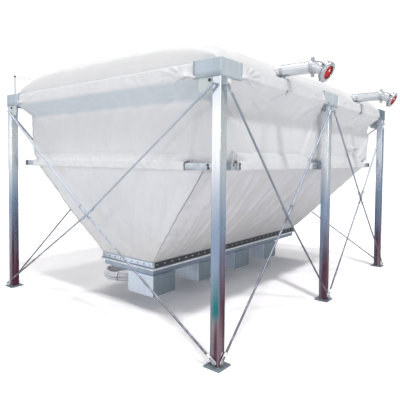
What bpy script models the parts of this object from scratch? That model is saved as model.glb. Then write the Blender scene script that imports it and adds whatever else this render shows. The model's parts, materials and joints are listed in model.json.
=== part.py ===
"""Fabric trough silo on a galvanised steel frame.

A flexible fabric bag hangs in a frame of six square posts.  Its upper part is
a rectangular box with rounded corners, its lower part a hopper that narrows to
a long sheet-metal trough, and a soft domed roof closes it.  Two fill pipes
come out over the front rail.  X is the long side, Y the short side, Z is up,
the front is the -Y side, and the origin is on the floor below the centre.
Sizes are in metres.
"""
import math

import bmesh
import bpy
from mathutils import Matrix, Vector

# ---------------------------------------------------------------- sizes
NAME = "fabric_silo"

HALF_X = 2.15            # outer faces of the posts, long direction
HALF_Y = 1.75            # outer faces of the posts, short direction
POST = 0.09              # square post
POST_TOP = 2.375
PLATE = 0.165            # base plate, square
PLATE_T = 0.012

RAIL_LOW, RAIL_TOP = 2.3755, 2.482
RAIL_OUT = 0.016         # rail face, inboard of the post's outer face
RAIL_DEEP = 0.06

HEAD_LOW, HEAD_TOP = 2.35, 2.50
HEAD_LEG = 0.285         # length of a corner head's legs
HEAD_MID = 0.39          # width of a middle head
HEAD_T = 0.007

RING_Z = 1.63            # middle ring of square tubes
RING = 0.06
RING_FACE_X = 2.006      # outer faces of the ring tubes
RING_FACE_Y = 1.602
RING_END_X = 1.80        # ends of the front and back tubes
RING_END_Y = 1.57        # ends of the left and right tubes

CLOTH = 0.006            # the bag's skin is drawn thicker than it is
SEAM = 0.0005            # gap between neighbouring skins
WALL_LOW = 1.600         # lower edge of the walls
SHOULDER = 2.20          # height where the wall starts to lean out
BAND_LOW = 2.362         # height where the wall reaches the rail
BAND_TOP = 2.489

TROUGH_X, TROUGH_Y = 1.635, 0.445
TROUGH_TOP, TROUGH_LIP, TROUGH_LOW = 0.556, 0.472, 0.408
TROUGH_T = 0.006

BOX_W, BOX_D = 0.35, 0.42
BOX_LOW, BOX_PITCH, BOX_FIRST = 0.175, 0.764, -1.633

BRACE_R = 0.010
BRACE_HIGH, BRACE_FOOT = 2.29, 0.062

PIPE_X = 1.07            # the fill pipes stand this far left and right
PIPE_R = 0.057
PIPE_Z = 2.577
PIPE_START, PIPE_BEND = 1.55, 2.02
PIPE_TILT = math.radians(30.0)
COUPLING_R = 0.098

ROOF_X, ROOF_Y = 2.056, 1.656
ROOF_LOW, ROOF_HIGH = 2.4895, 2.875

HOSE_R = 0.018
COIL_X, COIL_Y = -0.80, 0.98     # middle of the hose coil on the floor
COIL_R = 0.30
SPIGOT_X, SPIGOT_Z = -1.33, 0.25

SHIFT_Y = 0.2134        # puts the origin below the middle of the whole box,
                         # which the fill pipes stretch towards the front

# ---------------------------------------------------------------- start
for old in list(bpy.data.objects):
    bpy.data.objects.remove(old, do_unlink=True)

SILO = bpy.data.collections.new(NAME)
bpy.context.scene.collection.children.link(SILO)
CUTTERS = bpy.data.collections.new("cutters")
bpy.context.scene.collection.children.link(CUTTERS)


def material(name, colour, roughness, metallic):
    mat = bpy.data.materials.new(name)
    mat.use_nodes = True
    shader = mat.node_tree.nodes["Principled BSDF"]
    shader.inputs["Base Color"].default_value = (*colour, 1.0)
    shader.inputs["Roughness"].default_value = roughness
    shader.inputs["Metallic"].default_value = metallic
    return mat


GALVANISED = material("galvanised_steel", (0.42, 0.46, 0.50), 0.42, 0.9)
SHEET_STEEL = material("sheet_steel", (0.30, 0.36, 0.43), 0.45, 0.8)
ALUMINIUM = material("aluminium", (0.62, 0.65, 0.67), 0.35, 0.9)
FABRIC = material("bag_fabric", (0.66, 0.66, 0.68), 0.85, 0.0)
RED_CAP = material("red_cap", (0.55, 0.05, 0.05), 0.5, 0.0)
HOSE = material("clear_hose", (0.75, 0.76, 0.78), 0.3, 0.0)
CORD = material("cord", (0.55, 0.56, 0.58), 0.6, 0.0)


# ---------------------------------------------------------------- helpers
def add_object(name, mesh, mat, collection=None):
    obj = bpy.data.objects.new(name, mesh)
    (collection or SILO).objects.link(obj)
    if mat is not None:
        mesh.materials.clear()
        mesh.materials.append(mat)
    return obj


def box_mesh(bm, low, high):
    """Add a box between two corners to a bmesh."""
    size = [h - l for l, h in zip(low, high)]
    mid = [(h + l) / 2 for l, h in zip(low, high)]
    matrix = Matrix.Translation(mid) @ Matrix.Diagonal((*size, 1.0))
    bmesh.ops.create_cube(bm, size=1.0, matrix=matrix)


def box(name, low, high, mat, collection=None):
    mesh = bpy.data.meshes.new(name)
    bm = bmesh.new()
    box_mesh(bm, low, high)
    bm.to_mesh(mesh)
    bm.free()
    return add_object(name, mesh, mat, collection)


def rod_mesh(name, start, end, radius, sides):
    """A cylinder between two points."""
    a, b = Vector(start), Vector(end)
    mesh = bpy.data.meshes.new(name)
    bm = bmesh.new()
    turn = (b - a).to_track_quat("Z", "Y").to_matrix().to_4x4()
    bmesh.ops.create_cone(bm, cap_ends=True, cap_tris=False, segments=sides,
                          radius1=radius, radius2=radius, depth=(b - a).length,
                          matrix=Matrix.Translation((a + b) / 2) @ turn)
    bm.to_mesh(mesh)
    bm.free()
    mesh.shade_smooth()
    mesh.set_sharp_from_angle(angle=math.radians(40))
    return mesh


def rod(name, start, end, radius, mat, sides=12, collection=None):
    return add_object(name, rod_mesh(name, start, end, radius, sides), mat,
                      collection)


def bent_rod(name, start, middle, end, radius, mat, sides=12):
    """A rod that is bent a little at its middle, with a mitre there."""
    a, m, b = Vector(start), Vector(middle), Vector(end)
    first, second = (m - a).normalized(), (b - m).normalized()
    plane = (first + second).normalized()
    side = first.cross(second).normalized()
    up = side.cross(first)
    bm = bmesh.new()
    rings = [[], [], []]
    for k in range(sides):
        t = 2 * math.pi * (k + 0.5) / sides
        off = (side * math.cos(t) + up * math.sin(t)) * radius
        at = off - first * (off.dot(plane) / first.dot(plane))
        rings[0].append(bm.verts.new(a + off))
        rings[1].append(bm.verts.new(m + at))
        rings[2].append(bm.verts.new(b + at - second * at.dot(second)))
    for low, high in zip(rings, rings[1:]):
        for k in range(sides):
            j = (k + 1) % sides
            bm.faces.new((low[k], low[j], high[j], high[k]))
    bm.faces.new(rings[0])
    bm.faces.new(rings[2])
    bmesh.ops.recalc_face_normals(bm, faces=bm.faces)
    mesh = bpy.data.meshes.new(name)
    bm.to_mesh(mesh)
    bm.free()
    mesh.shade_smooth()
    mesh.set_sharp_from_angle(angle=math.radians(40))
    return add_object(name, mesh, mat)


def cutter(obj):
    """Move an object to the cutters and hide it from the render."""
    for coll in list(obj.users_collection):
        coll.objects.unlink(obj)
    CUTTERS.objects.link(obj)
    obj.hide_render = True
    obj.display_type = "WIRE"
    return obj


def join(target, others):
    for other in others:
        cutter(other)
        mod = target.modifiers.new("join_" + other.name, "BOOLEAN")
        mod.operation = "UNION"
        mod.solver = "EXACT"
        mod.object = other


def cut(target, others):
    for other in others:
        if other.name not in CUTTERS.objects:
            cutter(other)
        mod = target.modifiers.new("cut_" + other.name, "BOOLEAN")
        mod.operation = "DIFFERENCE"
        mod.solver = "EXACT"
        mod.object = other


# ---------------------------------------------------------------- posts
# Each post stands on a welded base plate and carries a folded head, which
# wraps the rails from outside and above.
def post(name, sx, sy):
    """A post at the corner or side that the signs sx, sy give."""
    cx = sx * (HALF_X - POST / 2)
    cy = sy * (HALF_Y - POST / 2)
    half = POST / 2
    shaft = box(name, (cx - half, cy - half, PLATE_T - 0.001),
                (cx + half, cy + half, POST_TOP), GALVANISED)
    plate = box(name + "_plate", (cx - PLATE / 2, cy - PLATE / 2, 0.0),
                (cx + PLATE / 2, cy + PLATE / 2, PLATE_T), None)
    fy = sy * (HALF_Y - 0.001)              # the head starts in the post's skin
    ty = sy * (HALF_Y - 0.001 + HEAD_T)
    fx = sx * (HALF_X - 0.001)
    tx = sx * (HALF_X - 0.001 + HEAD_T)
    inner_y = sy * (HALF_Y - 0.085)
    inner_x = sx * (HALF_X - 0.085)
    top_low = HEAD_TOP - 0.006

    def block(tag, x0, x1, y0, y1, z0, z1):
        return box(name + tag, (min(x0, x1), min(y0, y1), z0),
                   (max(x0, x1), max(y0, y1), z1), None)

    parts = [plate]
    if sx == 0:
        x0, x1 = -HEAD_MID / 2, HEAD_MID / 2
        parts.append(block("_face", x0, x1, fy, ty, HEAD_LOW, HEAD_TOP))
        parts.append(block("_top", x0, x1, inner_y, fy + (ty - fy) * 0.5,
                           top_low, HEAD_TOP - 0.0005))
        # bracket that reaches in to the ring tube
        parts.append(block("_ring", -0.15, 0.15,
                           sy * (RING_FACE_Y + 0.0004), sy * (RING_FACE_Y + 0.0084),
                           RING_Z - 0.045, RING_Z + 0.045))
        parts.append(block("_arm", -0.03, 0.03,
                           sy * (RING_FACE_Y + 0.006), sy * (HALF_Y - POST + 0.004),
                           RING_Z - 0.03, RING_Z + 0.03))
    else:
        leg_x = tx - sx * (HEAD_LEG + HEAD_T)
        leg_y = ty - sy * (HEAD_LEG + HEAD_T)
        parts.append(block("_face_y", tx, leg_x, fy, ty, HEAD_LOW, HEAD_TOP))
        parts.append(block("_face_x", fx, tx, fy + (ty - fy) * 0.5, leg_y,
                           HEAD_LOW, HEAD_TOP - 0.0003))
        parts.append(block("_top_y", fx + (tx - fx) * 0.5, leg_x, inner_y,
                           fy + (ty - fy) * 0.4, top_low, HEAD_TOP - 0.0008))
        parts.append(block("_top_x", fx + (tx - fx) * 0.4, inner_x, inner_y,
                           leg_y, top_low, HEAD_TOP - 0.0008))
    join(shaft, parts)
    return shaft


POSTS = [("post_front_left", -1, -1), ("post_front_middle", 0, -1),
         ("post_front_right", 1, -1), ("post_back_left", -1, 1),
         ("post_back_middle", 0, 1), ("post_back_right", 1, 1)]
for post_name, sign_x, sign_y in POSTS:
    post(post_name, sign_x, sign_y)

# ---------------------------------------------------------------- top rails
rail_out_x = HALF_X - RAIL_OUT
rail_out_y = HALF_Y - RAIL_OUT
for rail_name, sy in (("rail_front", -1), ("rail_back", 1)):
    y0, y1 = sorted((sy * rail_out_y, sy * (rail_out_y - RAIL_DEEP)))
    box(rail_name, (-rail_out_x, y0, RAIL_LOW), (rail_out_x, y1, RAIL_TOP),
        GALVANISED)
for rail_name, sx in (("rail_left", -1), ("rail_right", 1)):
    x0, x1 = sorted((sx * rail_out_x, sx * (rail_out_x - RAIL_DEEP)))
    reach = rail_out_y - RAIL_DEEP - 0.0005
    box(rail_name, (x0, -reach, RAIL_LOW), (x1, reach, RAIL_TOP), GALVANISED)

# ---------------------------------------------------------------- ring tubes
for ring_name, sy in (("ring_tube_front", -1), ("ring_tube_back", 1)):
    y0, y1 = sorted((sy * RING_FACE_Y, sy * (RING_FACE_Y - RING)))
    box(ring_name, (-RING_END_X, y0, RING_Z - RING / 2),
        (RING_END_X, y1, RING_Z + RING / 2), GALVANISED)
for ring_name, sx in (("ring_tube_left", -1), ("ring_tube_right", 1)):
    x0, x1 = sorted((sx * RING_FACE_X, sx * (RING_FACE_X - RING)))
    box(ring_name, (x0, -RING_END_Y, RING_Z - RING / 2),
        (x1, RING_END_Y, RING_Z + RING / 2), GALVANISED)

# ---------------------------------------------------------------- braces
# Two rods cross in every bay, outside the posts.  The second rod of each bay
# passes outside the first one.  They hang a little at the crossing, the long
# ones on the short sides the most.
SAG = {"left": 0.070, "right": 0.040, "end": 0.088}
INNER, OUTER = BRACE_R + 0.0006, 3 * BRACE_R + 0.003


def brace(name, p, q, normal, away, sag):
    start, end = Vector(p) + Vector(normal) * away, Vector(q) + Vector(normal) * away
    middle = (start + end) / 2 - Vector((0, 0, sag))
    return bent_rod(name, start, middle, end, BRACE_R, GALVANISED)


post_x = HALF_X - POST / 2
post_y = HALF_Y - POST / 2
for side, sy in (("front", -1), ("back", 1)):
    face = sy * HALF_Y
    for bay, x0, x1 in (("left", -post_x, -0.022), ("right", 0.022, post_x)):
        brace(f"brace_{side}_{bay}_rising", (x0, face, BRACE_FOOT),
              (x1, face, BRACE_HIGH), (0, sy, 0), INNER, SAG[bay])
        brace(f"brace_{side}_{bay}_falling", (x0, face, BRACE_HIGH),
              (x1, face, BRACE_FOOT), (0, sy, 0), OUTER, SAG[bay])
for side, sx in (("left", -1), ("right", 1)):
    face = sx * HALF_X
    brace(f"brace_{side}_rising", (face, -post_y, BRACE_FOOT),
          (face, post_y, BRACE_HIGH), (sx, 0, 0), INNER, SAG["end"])
    brace(f"brace_{side}_falling", (face, -post_y, BRACE_HIGH),
          (face, post_y, BRACE_FOOT), (sx, 0, 0), OUTER, SAG["end"])


# ---------------------------------------------------------------- bag skins
def quarter_path(hx, hy, radius, steps):
    """Plan outline of one side from the corner's middle to the next one's.

    The side is the front one: it runs from the middle of the left corner arc
    along y = -hy to the middle of the right corner arc.
    """
    points = []
    centre = Vector((-hx + radius, -hy + radius))
    for i in range(steps + 1):
        angle = math.radians(225 + 45 * i / steps)
        points.append((centre.x + radius * math.cos(angle),
                       centre.y + radius * math.sin(angle)))
    right = [(-x, y) for x, y in reversed(points)]
    return points + right


def skin(name, rows, side, mat):
    """A panel of the bag, lofted through rows and closed on all sides.

    A row is (z, half_x, half_y, radius, inward, down): the outline of the
    outer surface, and how far the inner surface lies inside and below it.
    """
    steps = 3
    bm = bmesh.new()
    layers = []
    for inner in (0, 1):
        grid = []
        for z, hx, hy, radius, inward, down in rows:
            if side in ("left", "right"):
                hx, hy = hy, hx
            line = quarter_path(hx - inner * inward, hy - inner * inward,
                                max(radius - inner * inward, 0.002), steps)
            # a narrow gap on the corner, between this side and the next
            line[0] = (line[0][0] + SEAM, line[0][1])
            line[-1] = (line[-1][0] - SEAM, line[-1][1])
            grid.append([bm.verts.new((x, y, z - inner * down))
                         for x, y in line])
        layers.append(grid)
    outer, inner = layers
    for low, high, low_in, high_in in zip(outer, outer[1:], inner, inner[1:]):
        for i in range(len(low) - 1):
            bm.faces.new((low[i], low[i + 1], high[i + 1], high[i]))
            bm.faces.new((low_in[i + 1], low_in[i], high_in[i], high_in[i + 1]))
        bm.faces.new((low_in[0], low[0], high[0], high_in[0]))
        bm.faces.new((low[-1], low_in[-1], high_in[-1], high[-1]))
    for i in range(len(outer[0]) - 1):
        bm.faces.new((outer[0][i + 1], outer[0][i], inner[0][i],
                      inner[0][i + 1]))
        bm.faces.new((outer[-1][i], outer[-1][i + 1], inner[-1][i + 1],
                      inner[-1][i]))
    turn = {"front": 0, "right": 90, "back": 180, "left": 270}[side]
    bmesh.ops.rotate(bm, verts=bm.verts, cent=(0, 0, 0),
                     matrix=Matrix.Rotation(math.radians(turn), 3, "Z"))
    bmesh.ops.recalc_face_normals(bm, faces=bm.faces)
    mesh = bpy.data.meshes.new(name)
    bm.to_mesh(mesh)
    bm.free()
    mesh.shade_smooth()
    mesh.set_sharp_from_angle(angle=math.radians(35))
    return add_object(name, mesh, mat)


band_x = rail_out_x + 0.0006 + CLOTH
band_y = rail_out_y + 0.0006 + CLOTH
RING_GAP = 0.0015
wall_x = RING_FACE_X - RING - RING_GAP
wall_y = RING_FACE_Y - RING - RING_GAP
TIP = CLOTH + 0.001      # corner radius where the bag is square
WALL_ROWS = [
    (WALL_LOW, wall_x, wall_y, 0.20, CLOTH, 0),
    (RING_Z + RING / 2 + 0.004, wall_x, wall_y, 0.20, CLOTH, 0),
    (RING_Z + 0.10, wall_x + 0.042, wall_y + 0.042, 0.22, CLOTH, 0),
    (SHOULDER, wall_x + 0.048, wall_y + 0.048, 0.22, CLOTH, 0),
    (BAND_LOW, band_x, band_y, TIP, CLOTH, 0),
    (BAND_TOP, band_x, band_y, TIP, CLOTH, CLOTH),
    (BAND_TOP, band_x - 0.075, band_y - 0.075, TIP, 0, CLOTH),
]
HOPPER_ROWS = [
    (TROUGH_LIP + 0.004, TROUGH_X - TROUGH_T - 0.0008,
     TROUGH_Y - TROUGH_T - 0.0008, 0.012, CLOTH, 0),
    (TROUGH_TOP + 0.001, TROUGH_X - TROUGH_T - 0.0008,
     TROUGH_Y - TROUGH_T - 0.0008, 0.012, CLOTH, 0),
    (WALL_LOW - 0.001, wall_x, wall_y, 0.20, 1.4 * CLOTH, 0),
]


def post_cutters(tag):
    """Clear boxes round the posts for the wall skins."""
    clear = 0.003
    boxes = []
    for post_name, sx, sy in POSTS:
        cx, cy = sx * post_x, sy * post_y
        half = POST / 2 + clear
        reach_x = 0.05 if sx else 0.0
        low = (cx - half - (reach_x if sx < 0 else 0), cy - half
               - (0.05 if sy < 0 else 0), 1.4)
        high = (cx + half + (reach_x if sx > 0 else 0), cy + half
                + (0.05 if sy > 0 else 0), POST_TOP + 0.002)
        boxes.append(cutter(box(f"{post_name}_clear{tag}", low, high, None)))
    return boxes


POST_CLEAR = post_cutters("")
for side in ("front", "right", "back", "left"):
    rows = WALL_ROWS
    wall = skin("wall_" + side, rows, side, FABRIC)
    near = {"front": ("front",), "back": ("back",), "left": ("left",),
            "right": ("right",)}[side]
    cut(wall, [c for c in POST_CLEAR if near[0] in c.name])
    skin("hopper_" + side, HOPPER_ROWS, side, FABRIC)


# ---------------------------------------------------------------- roof
def roof_height(u, v):
    """Height of the soft roof over its rim, for u and v from -1 to 1."""
    edge_u = max(0.0, 1.0 - abs(u) ** 5.5) ** 0.12
    edge_v = max(0.0, 1.0 - abs(v) ** 4.3) ** 0.48
    crown = 0.77 + 0.23 * (1.0 - u * u) * (1.0 - v * v)
    return edge_u * edge_v * crown


def roof_point(u, v):
    """A point on the roof's outer surface."""
    rise = ROOF_HIGH - ROOF_LOW - CLOTH
    return Vector((u * ROOF_X, v * ROOF_Y,
                   ROOF_LOW + CLOTH + rise * roof_height(u, v)))


CORNER_U, CORNER_V = -0.965, 0.83      # where the cord meets the roof


def roof():
    mesh = bpy.data.meshes.new("roof")
    bm = bmesh.new()
    marks_u = [-1, -0.999, -0.99, CORNER_U, -0.9, -0.78, -0.55, -0.28, 0,
               0.28, 0.55, 0.78, 0.9, -CORNER_U, 0.99, 0.999, 1]
    marks_v = [-1, -0.993, -0.97, -0.93, -0.88, -0.74, -0.5, -0.25, 0, 0.25,
               0.5, 0.70, CORNER_V, 0.90, 0.95, 0.985, 1]
    grid = [[bm.verts.new(roof_point(u, v)) for u in marks_u]
            for v in marks_v]
    for a, b in zip(grid, grid[1:]):
        for i in range(len(a) - 1):
            bm.faces.new((a[i], a[i + 1], b[i + 1], b[i]))
    bmesh.ops.recalc_face_normals(bm, faces=bm.faces)
    if sum(f.normal.z for f in bm.faces) < 0:
        bmesh.ops.reverse_faces(bm, faces=bm.faces)
    # the skin is drawn by lowering a copy, so that its rim stays level
    top = list(bm.faces)
    made = bmesh.ops.duplicate(bm, geom=bm.verts[:] + bm.edges[:] + bm.faces[:])
    low_faces = [g for g in made["geom"] if isinstance(g, bmesh.types.BMFace)]
    low_verts = [g for g in made["geom"] if isinstance(g, bmesh.types.BMVert)]
    for vert in low_verts:
        vert.co.z -= CLOTH
    bmesh.ops.reverse_faces(bm, faces=low_faces)
    rims = [e for e in bm.edges if e.is_boundary]
    bmesh.ops.bridge_loops(bm, edges=rims)
    bmesh.ops.recalc_face_normals(bm, faces=bm.faces)
    bm.to_mesh(mesh)
    bm.free()
    mesh.shade_smooth()
    mesh.set_sharp_from_angle(angle=math.radians(60))
    return add_object("roof", mesh, FABRIC)


ROOF = roof()


# ---------------------------------------------------------------- trough
def trough():
    """Open-topped tray: clamping band, outer lip and a narrower lower part."""
    body = box("trough", (-TROUGH_X, -TROUGH_Y, TROUGH_LIP - 0.002),
               (TROUGH_X, TROUGH_Y, TROUGH_TOP), SHEET_STEEL)
    lip = box("trough_lip", (-TROUGH_X - 0.014, -TROUGH_Y - 0.014,
                             TROUGH_LIP - 0.012),
              (TROUGH_X + 0.014, TROUGH_Y + 0.014, TROUGH_LIP), None)
    lower = box("trough_lower", (-TROUGH_X + 0.02, -TROUGH_Y + 0.02, TROUGH_LOW),
                (TROUGH_X - 0.02, TROUGH_Y - 0.02, TROUGH_LIP - 0.003), None)
    upper_room = box("trough_upper_room", (-TROUGH_X + TROUGH_T,
                                           -TROUGH_Y + TROUGH_T, TROUGH_LIP),
                     (TROUGH_X - TROUGH_T, TROUGH_Y - TROUGH_T,
                      TROUGH_TOP + 0.1), None)
    lower_room = box("trough_lower_room", (-TROUGH_X + 0.026,
                                           -TROUGH_Y + 0.026, TROUGH_LOW + 0.006),
                     (TROUGH_X - 0.026, TROUGH_Y - 0.026,
                      TROUGH_TOP + 0.1), None)
    join(body, [lip, lower])
    cut(body, [upper_room, lower_room])
    return body


trough()
for index in range(4):
    x = BOX_FIRST + BOX_PITCH * index
    shell = box(f"outlet_box_{index + 1}",
                (x, -TROUGH_Y + 0.0003, BOX_LOW),
                (x + BOX_W, -TROUGH_Y + BOX_D, TROUGH_LOW - 0.0005),
                SHEET_STEEL)
    if index == 0:
        back = -TROUGH_Y + BOX_D
        spigot = rod("spigot", (SPIGOT_X, back - 0.004, SPIGOT_Z),
                     (SPIGOT_X, back + 0.060, SPIGOT_Z), 0.0225, None, 16)
        join(shell, [spigot])


# ---------------------------------------------------------------- fill pipes
def tube_points(points, radius, name, mat):
    """A bent pipe: one curve with a round bevel and closed ends, as a mesh."""
    curve = bpy.data.curves.new(name + "_curve", "CURVE")
    curve.dimensions = "3D"
    curve.bevel_depth = radius
    curve.bevel_resolution = 4
    curve.use_fill_caps = True
    spline = curve.splines.new("POLY")
    spline.points.add(len(points) - 1)
    for point, co in zip(spline.points, points):
        point.co = (*co, 1.0)
    temp = bpy.data.objects.new(name + "_curve", curve)
    SILO.objects.link(temp)
    deps = bpy.context.evaluated_depsgraph_get()
    mesh = bpy.data.meshes.new_from_object(temp.evaluated_get(deps))
    mesh.name = name
    bm = bmesh.new()
    bm.from_mesh(mesh)
    bmesh.ops.remove_doubles(bm, verts=bm.verts, dist=0.0001)
    bmesh.ops.recalc_face_normals(bm, faces=bm.faces)
    bm.to_mesh(mesh)
    bm.free()
    bpy.data.objects.remove(temp, do_unlink=True)
    mesh.shade_smooth()
    mesh.set_sharp_from_angle(angle=math.radians(50))
    return add_object(name, mesh, mat)


def fill_pipe(tag, x):
    # straight run, then a short elbow that turns down by PIPE_TILT
    bend_radius = 0.12
    points = [(x, -PIPE_START, PIPE_Z), (x, -PIPE_BEND, PIPE_Z)]
    for i in range(1, 6):
        a = PIPE_TILT * i / 5
        points.append((x, -PIPE_BEND - bend_radius * math.sin(a),
                       PIPE_Z - bend_radius * (1 - math.cos(a))))
    axis = Vector((0, -math.cos(PIPE_TILT), -math.sin(PIPE_TILT)))
    end = Vector(points[-1]) + axis * 0.045
    points.append(tuple(end))
    pipe = tube_points(points, PIPE_R, "fill_pipe_" + tag, ALUMINIUM)
    clamp = rod(f"clamp_{tag}", (x, -PIPE_BEND + 0.025, PIPE_Z),
                (x, -PIPE_BEND - 0.010, PIPE_Z), PIPE_R + 0.010, None, 24)
    lugs = box(f"clamp_lugs_{tag}", (x - 0.012, -PIPE_BEND - 0.006,
                                     PIPE_Z - PIPE_R - 0.035),
               (x + 0.012, -PIPE_BEND + 0.021, PIPE_Z + PIPE_R + 0.035), None)
    # saddle under the pipe, on top of the wrapped rail
    saddle = box(f"saddle_{tag}", (x - 0.03, -HALF_Y + 0.03, BAND_TOP + 0.0006),
                 (x + 0.03, -HALF_Y + 0.08, PIPE_Z - 0.03), None)
    join(pipe, [clamp, lugs, saddle])
    cut(ROOF, [rod(f"roof_hole_{tag}", (x, -PIPE_START + 0.2, PIPE_Z),
                   (x, -HALF_Y - 0.1, PIPE_Z), PIPE_R + 0.002, None, 24)])

    # coupling: a short collar with a wide lugged rim, and the red dust cap
    start = end + axis * 0.0004
    collar = rod(f"coupling_{tag}", start, start + axis * 0.060,
                 0.074, ALUMINIUM, 24)
    rear = rod(f"coupling_rear_{tag}", start + axis * 0.014,
               start + axis * 0.030, COUPLING_R - 0.004, None, 24)
    rim = rod(f"coupling_rim_{tag}", start + axis * 0.038,
              start + axis * 0.0595, COUPLING_R, None, 24)
    join(collar, [rear, rim])
    seat = rod(f"coupling_seat_{tag}", start + axis * 0.046,
               start + axis * 0.08, 0.0765, None, 24)
    cut(collar, [seat])
    rod(f"dust_cap_{tag}", start + axis * 0.0464, start + axis * 0.0605,
        0.0758, RED_CAP, 24)


fill_pipe("left", -PIPE_X)
fill_pipe("right", PIPE_X)

# ---------------------------------------------------------------- small parts
# A thin rod on the back left head holds the roof's corner with a taut cord.
rod_x, rod_y = -HALF_X + 0.075, HALF_Y - 0.045
mast = rod("corner_rod", (rod_x, rod_y, HEAD_TOP + 0.0003),
           (rod_x, rod_y, 2.745), 0.005, GALVANISED, 12)
knob = rod("corner_rod_knob", (rod_x, rod_y, 2.738), (rod_x, rod_y, 2.762),
           0.013, None, 12)
join(mast, [knob])

cord_from = Vector((rod_x, rod_y, 2.750))
cord_to = roof_point(CORNER_U, CORNER_V)
cord_way = (cord_to - cord_from).normalized()
rod("corner_cord", cord_from + cord_way * 0.0180, cord_to - cord_way * 0.006,
    0.0025, CORD, 8)


# ---------------------------------------------------------------- hose
# A clear flexible hose leaves a spigot on the back of the first outlet box,
# comes down to the floor, lies there in a coil and ends in a metal fitting.
def smooth(points, count):
    """Points along a Catmull-Rom curve through the given points."""
    pts = [Vector(p) for p in points]
    pts = [pts[0] * 2 - pts[1]] + pts + [pts[-1] * 2 - pts[-2]]
    out = []
    spans = len(pts) - 3
    for k in range(count + 1):
        t = k / count * spans
        i = min(int(t), spans - 1)
        t -= i
        a, b, c, d = pts[i:i + 4]
        out.append(0.5 * ((2 * b) + (c - a) * t
                          + (2 * a - 5 * b + 4 * c - d) * t * t
                          + (3 * b - a - 3 * c + d) * t ** 3))
    return out


HOSE_START = (SPIGOT_X, -TROUGH_Y + BOX_D + 0.0606, SPIGOT_Z)
tail_route = [HOSE_START, (SPIGOT_X, 0.085, SPIGOT_Z),
              (SPIGOT_X, 0.150, 0.244), (-1.315, 0.240, 0.188),
              (-1.268, 0.330, 0.098), (-1.200, 0.425, 0.030),
              (-1.105, 0.515, HOSE_R + 0.0005),
              (-1.015, 0.582, HOSE_R + 0.0005),
              (-0.925, 0.630, HOSE_R + 0.0005)]
tube_points([tuple(p) for p in smooth(tail_route, 28)], HOSE_R, "hose_tail",
            HOSE)

ring = bpy.data.meshes.new("hose_coil")
bm = bmesh.new()
half = HOSE_R * 2
profile = [(COIL_R + half, 0.1035), (COIL_R + half, 0.0004),
           (COIL_R - half, 0.0004), (COIL_R - half, 0.1035)]
verts = [bm.verts.new((x, 0, z)) for x, z in profile]
for i in range(4):
    bm.edges.new((verts[i], verts[(i + 1) % 4]))
bm.to_mesh(ring)
bm.free()
coil = add_object("hose_coil", ring, HOSE)
coil.location = (COIL_X, COIL_Y, 0.0)
turn = coil.modifiers.new("turn", "SCREW")
turn.axis = "Z"
turn.angle = math.radians(360)
turn.steps = turn.render_steps = 32
turn.use_merge_vertices = True
turn.merge_threshold = 0.0001

leave = math.radians(-30)
out_from = Vector((COIL_X + COIL_R * math.cos(leave),
                   COIL_Y + COIL_R * math.sin(leave), 0.0852))
out_way = Vector((-math.sin(leave), math.cos(leave), 0.0))
out_side = Vector((math.cos(leave), math.sin(leave), 0.0))
end_route = [out_from + out_way * 0.205 + out_side * 0.002 - Vector((0, 0, 0.006)),
             out_from + out_way * 0.285 + out_side * 0.008 - Vector((0, 0, 0.030)),
             out_from + out_way * 0.375 + out_side * 0.018 - Vector((0, 0, 0.0600)),
             out_from + out_way * 0.470 + out_side * 0.030 - Vector((0, 0, 0.0667)),
             out_from + out_way * 0.580 + out_side * 0.050 - Vector((0, 0, 0.0667))]
end_points = smooth(end_route, 16)
tube_points([tuple(p) for p in end_points], HOSE_R, "hose_end", HOSE)
end_way = (end_points[-1] - end_points[-2]).normalized()
rod("hose_fitting", end_points[-1] + end_way * 0.0003,
    end_points[-1] + end_way * 0.075, HOSE_R, ALUMINIUM, 16)

# ---------------------------------------------------------------- placing
# Everything hangs on one empty, which sets the whole silo over the origin.
frame = bpy.data.objects.new("silo_frame", None)
frame.location = (0.0, SHIFT_Y, 0.0)
SILO.objects.link(frame)
for obj in list(SILO.objects) + list(CUTTERS.objects):
    if obj is not frame:
        obj.parent = frame
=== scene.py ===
"""Looks of a fabric trough silo on a galvanised steel frame."""
import json
import math

import bmesh
import bpy
import numpy as np
from mathutils import Matrix, Vector


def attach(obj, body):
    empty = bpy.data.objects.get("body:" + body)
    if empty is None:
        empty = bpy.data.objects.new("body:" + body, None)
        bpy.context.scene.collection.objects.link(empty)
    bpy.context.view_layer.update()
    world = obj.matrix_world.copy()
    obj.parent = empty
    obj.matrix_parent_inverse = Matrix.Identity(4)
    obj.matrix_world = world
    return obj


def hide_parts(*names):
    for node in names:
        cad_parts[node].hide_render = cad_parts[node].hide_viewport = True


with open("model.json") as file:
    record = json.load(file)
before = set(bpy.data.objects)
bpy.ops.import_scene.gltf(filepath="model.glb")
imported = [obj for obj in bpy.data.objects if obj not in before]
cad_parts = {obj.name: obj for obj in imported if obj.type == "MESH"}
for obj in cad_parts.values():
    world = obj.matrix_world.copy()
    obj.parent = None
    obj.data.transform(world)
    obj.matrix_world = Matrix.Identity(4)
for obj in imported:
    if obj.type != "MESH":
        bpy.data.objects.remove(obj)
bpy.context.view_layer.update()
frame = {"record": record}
SCENE = bpy.context.scene
SHIFT_Y = 0.2134                 # from the silo's middle to the frame's origin
SHIFT = Vector((0.0, SHIFT_Y, 0.0))

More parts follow.
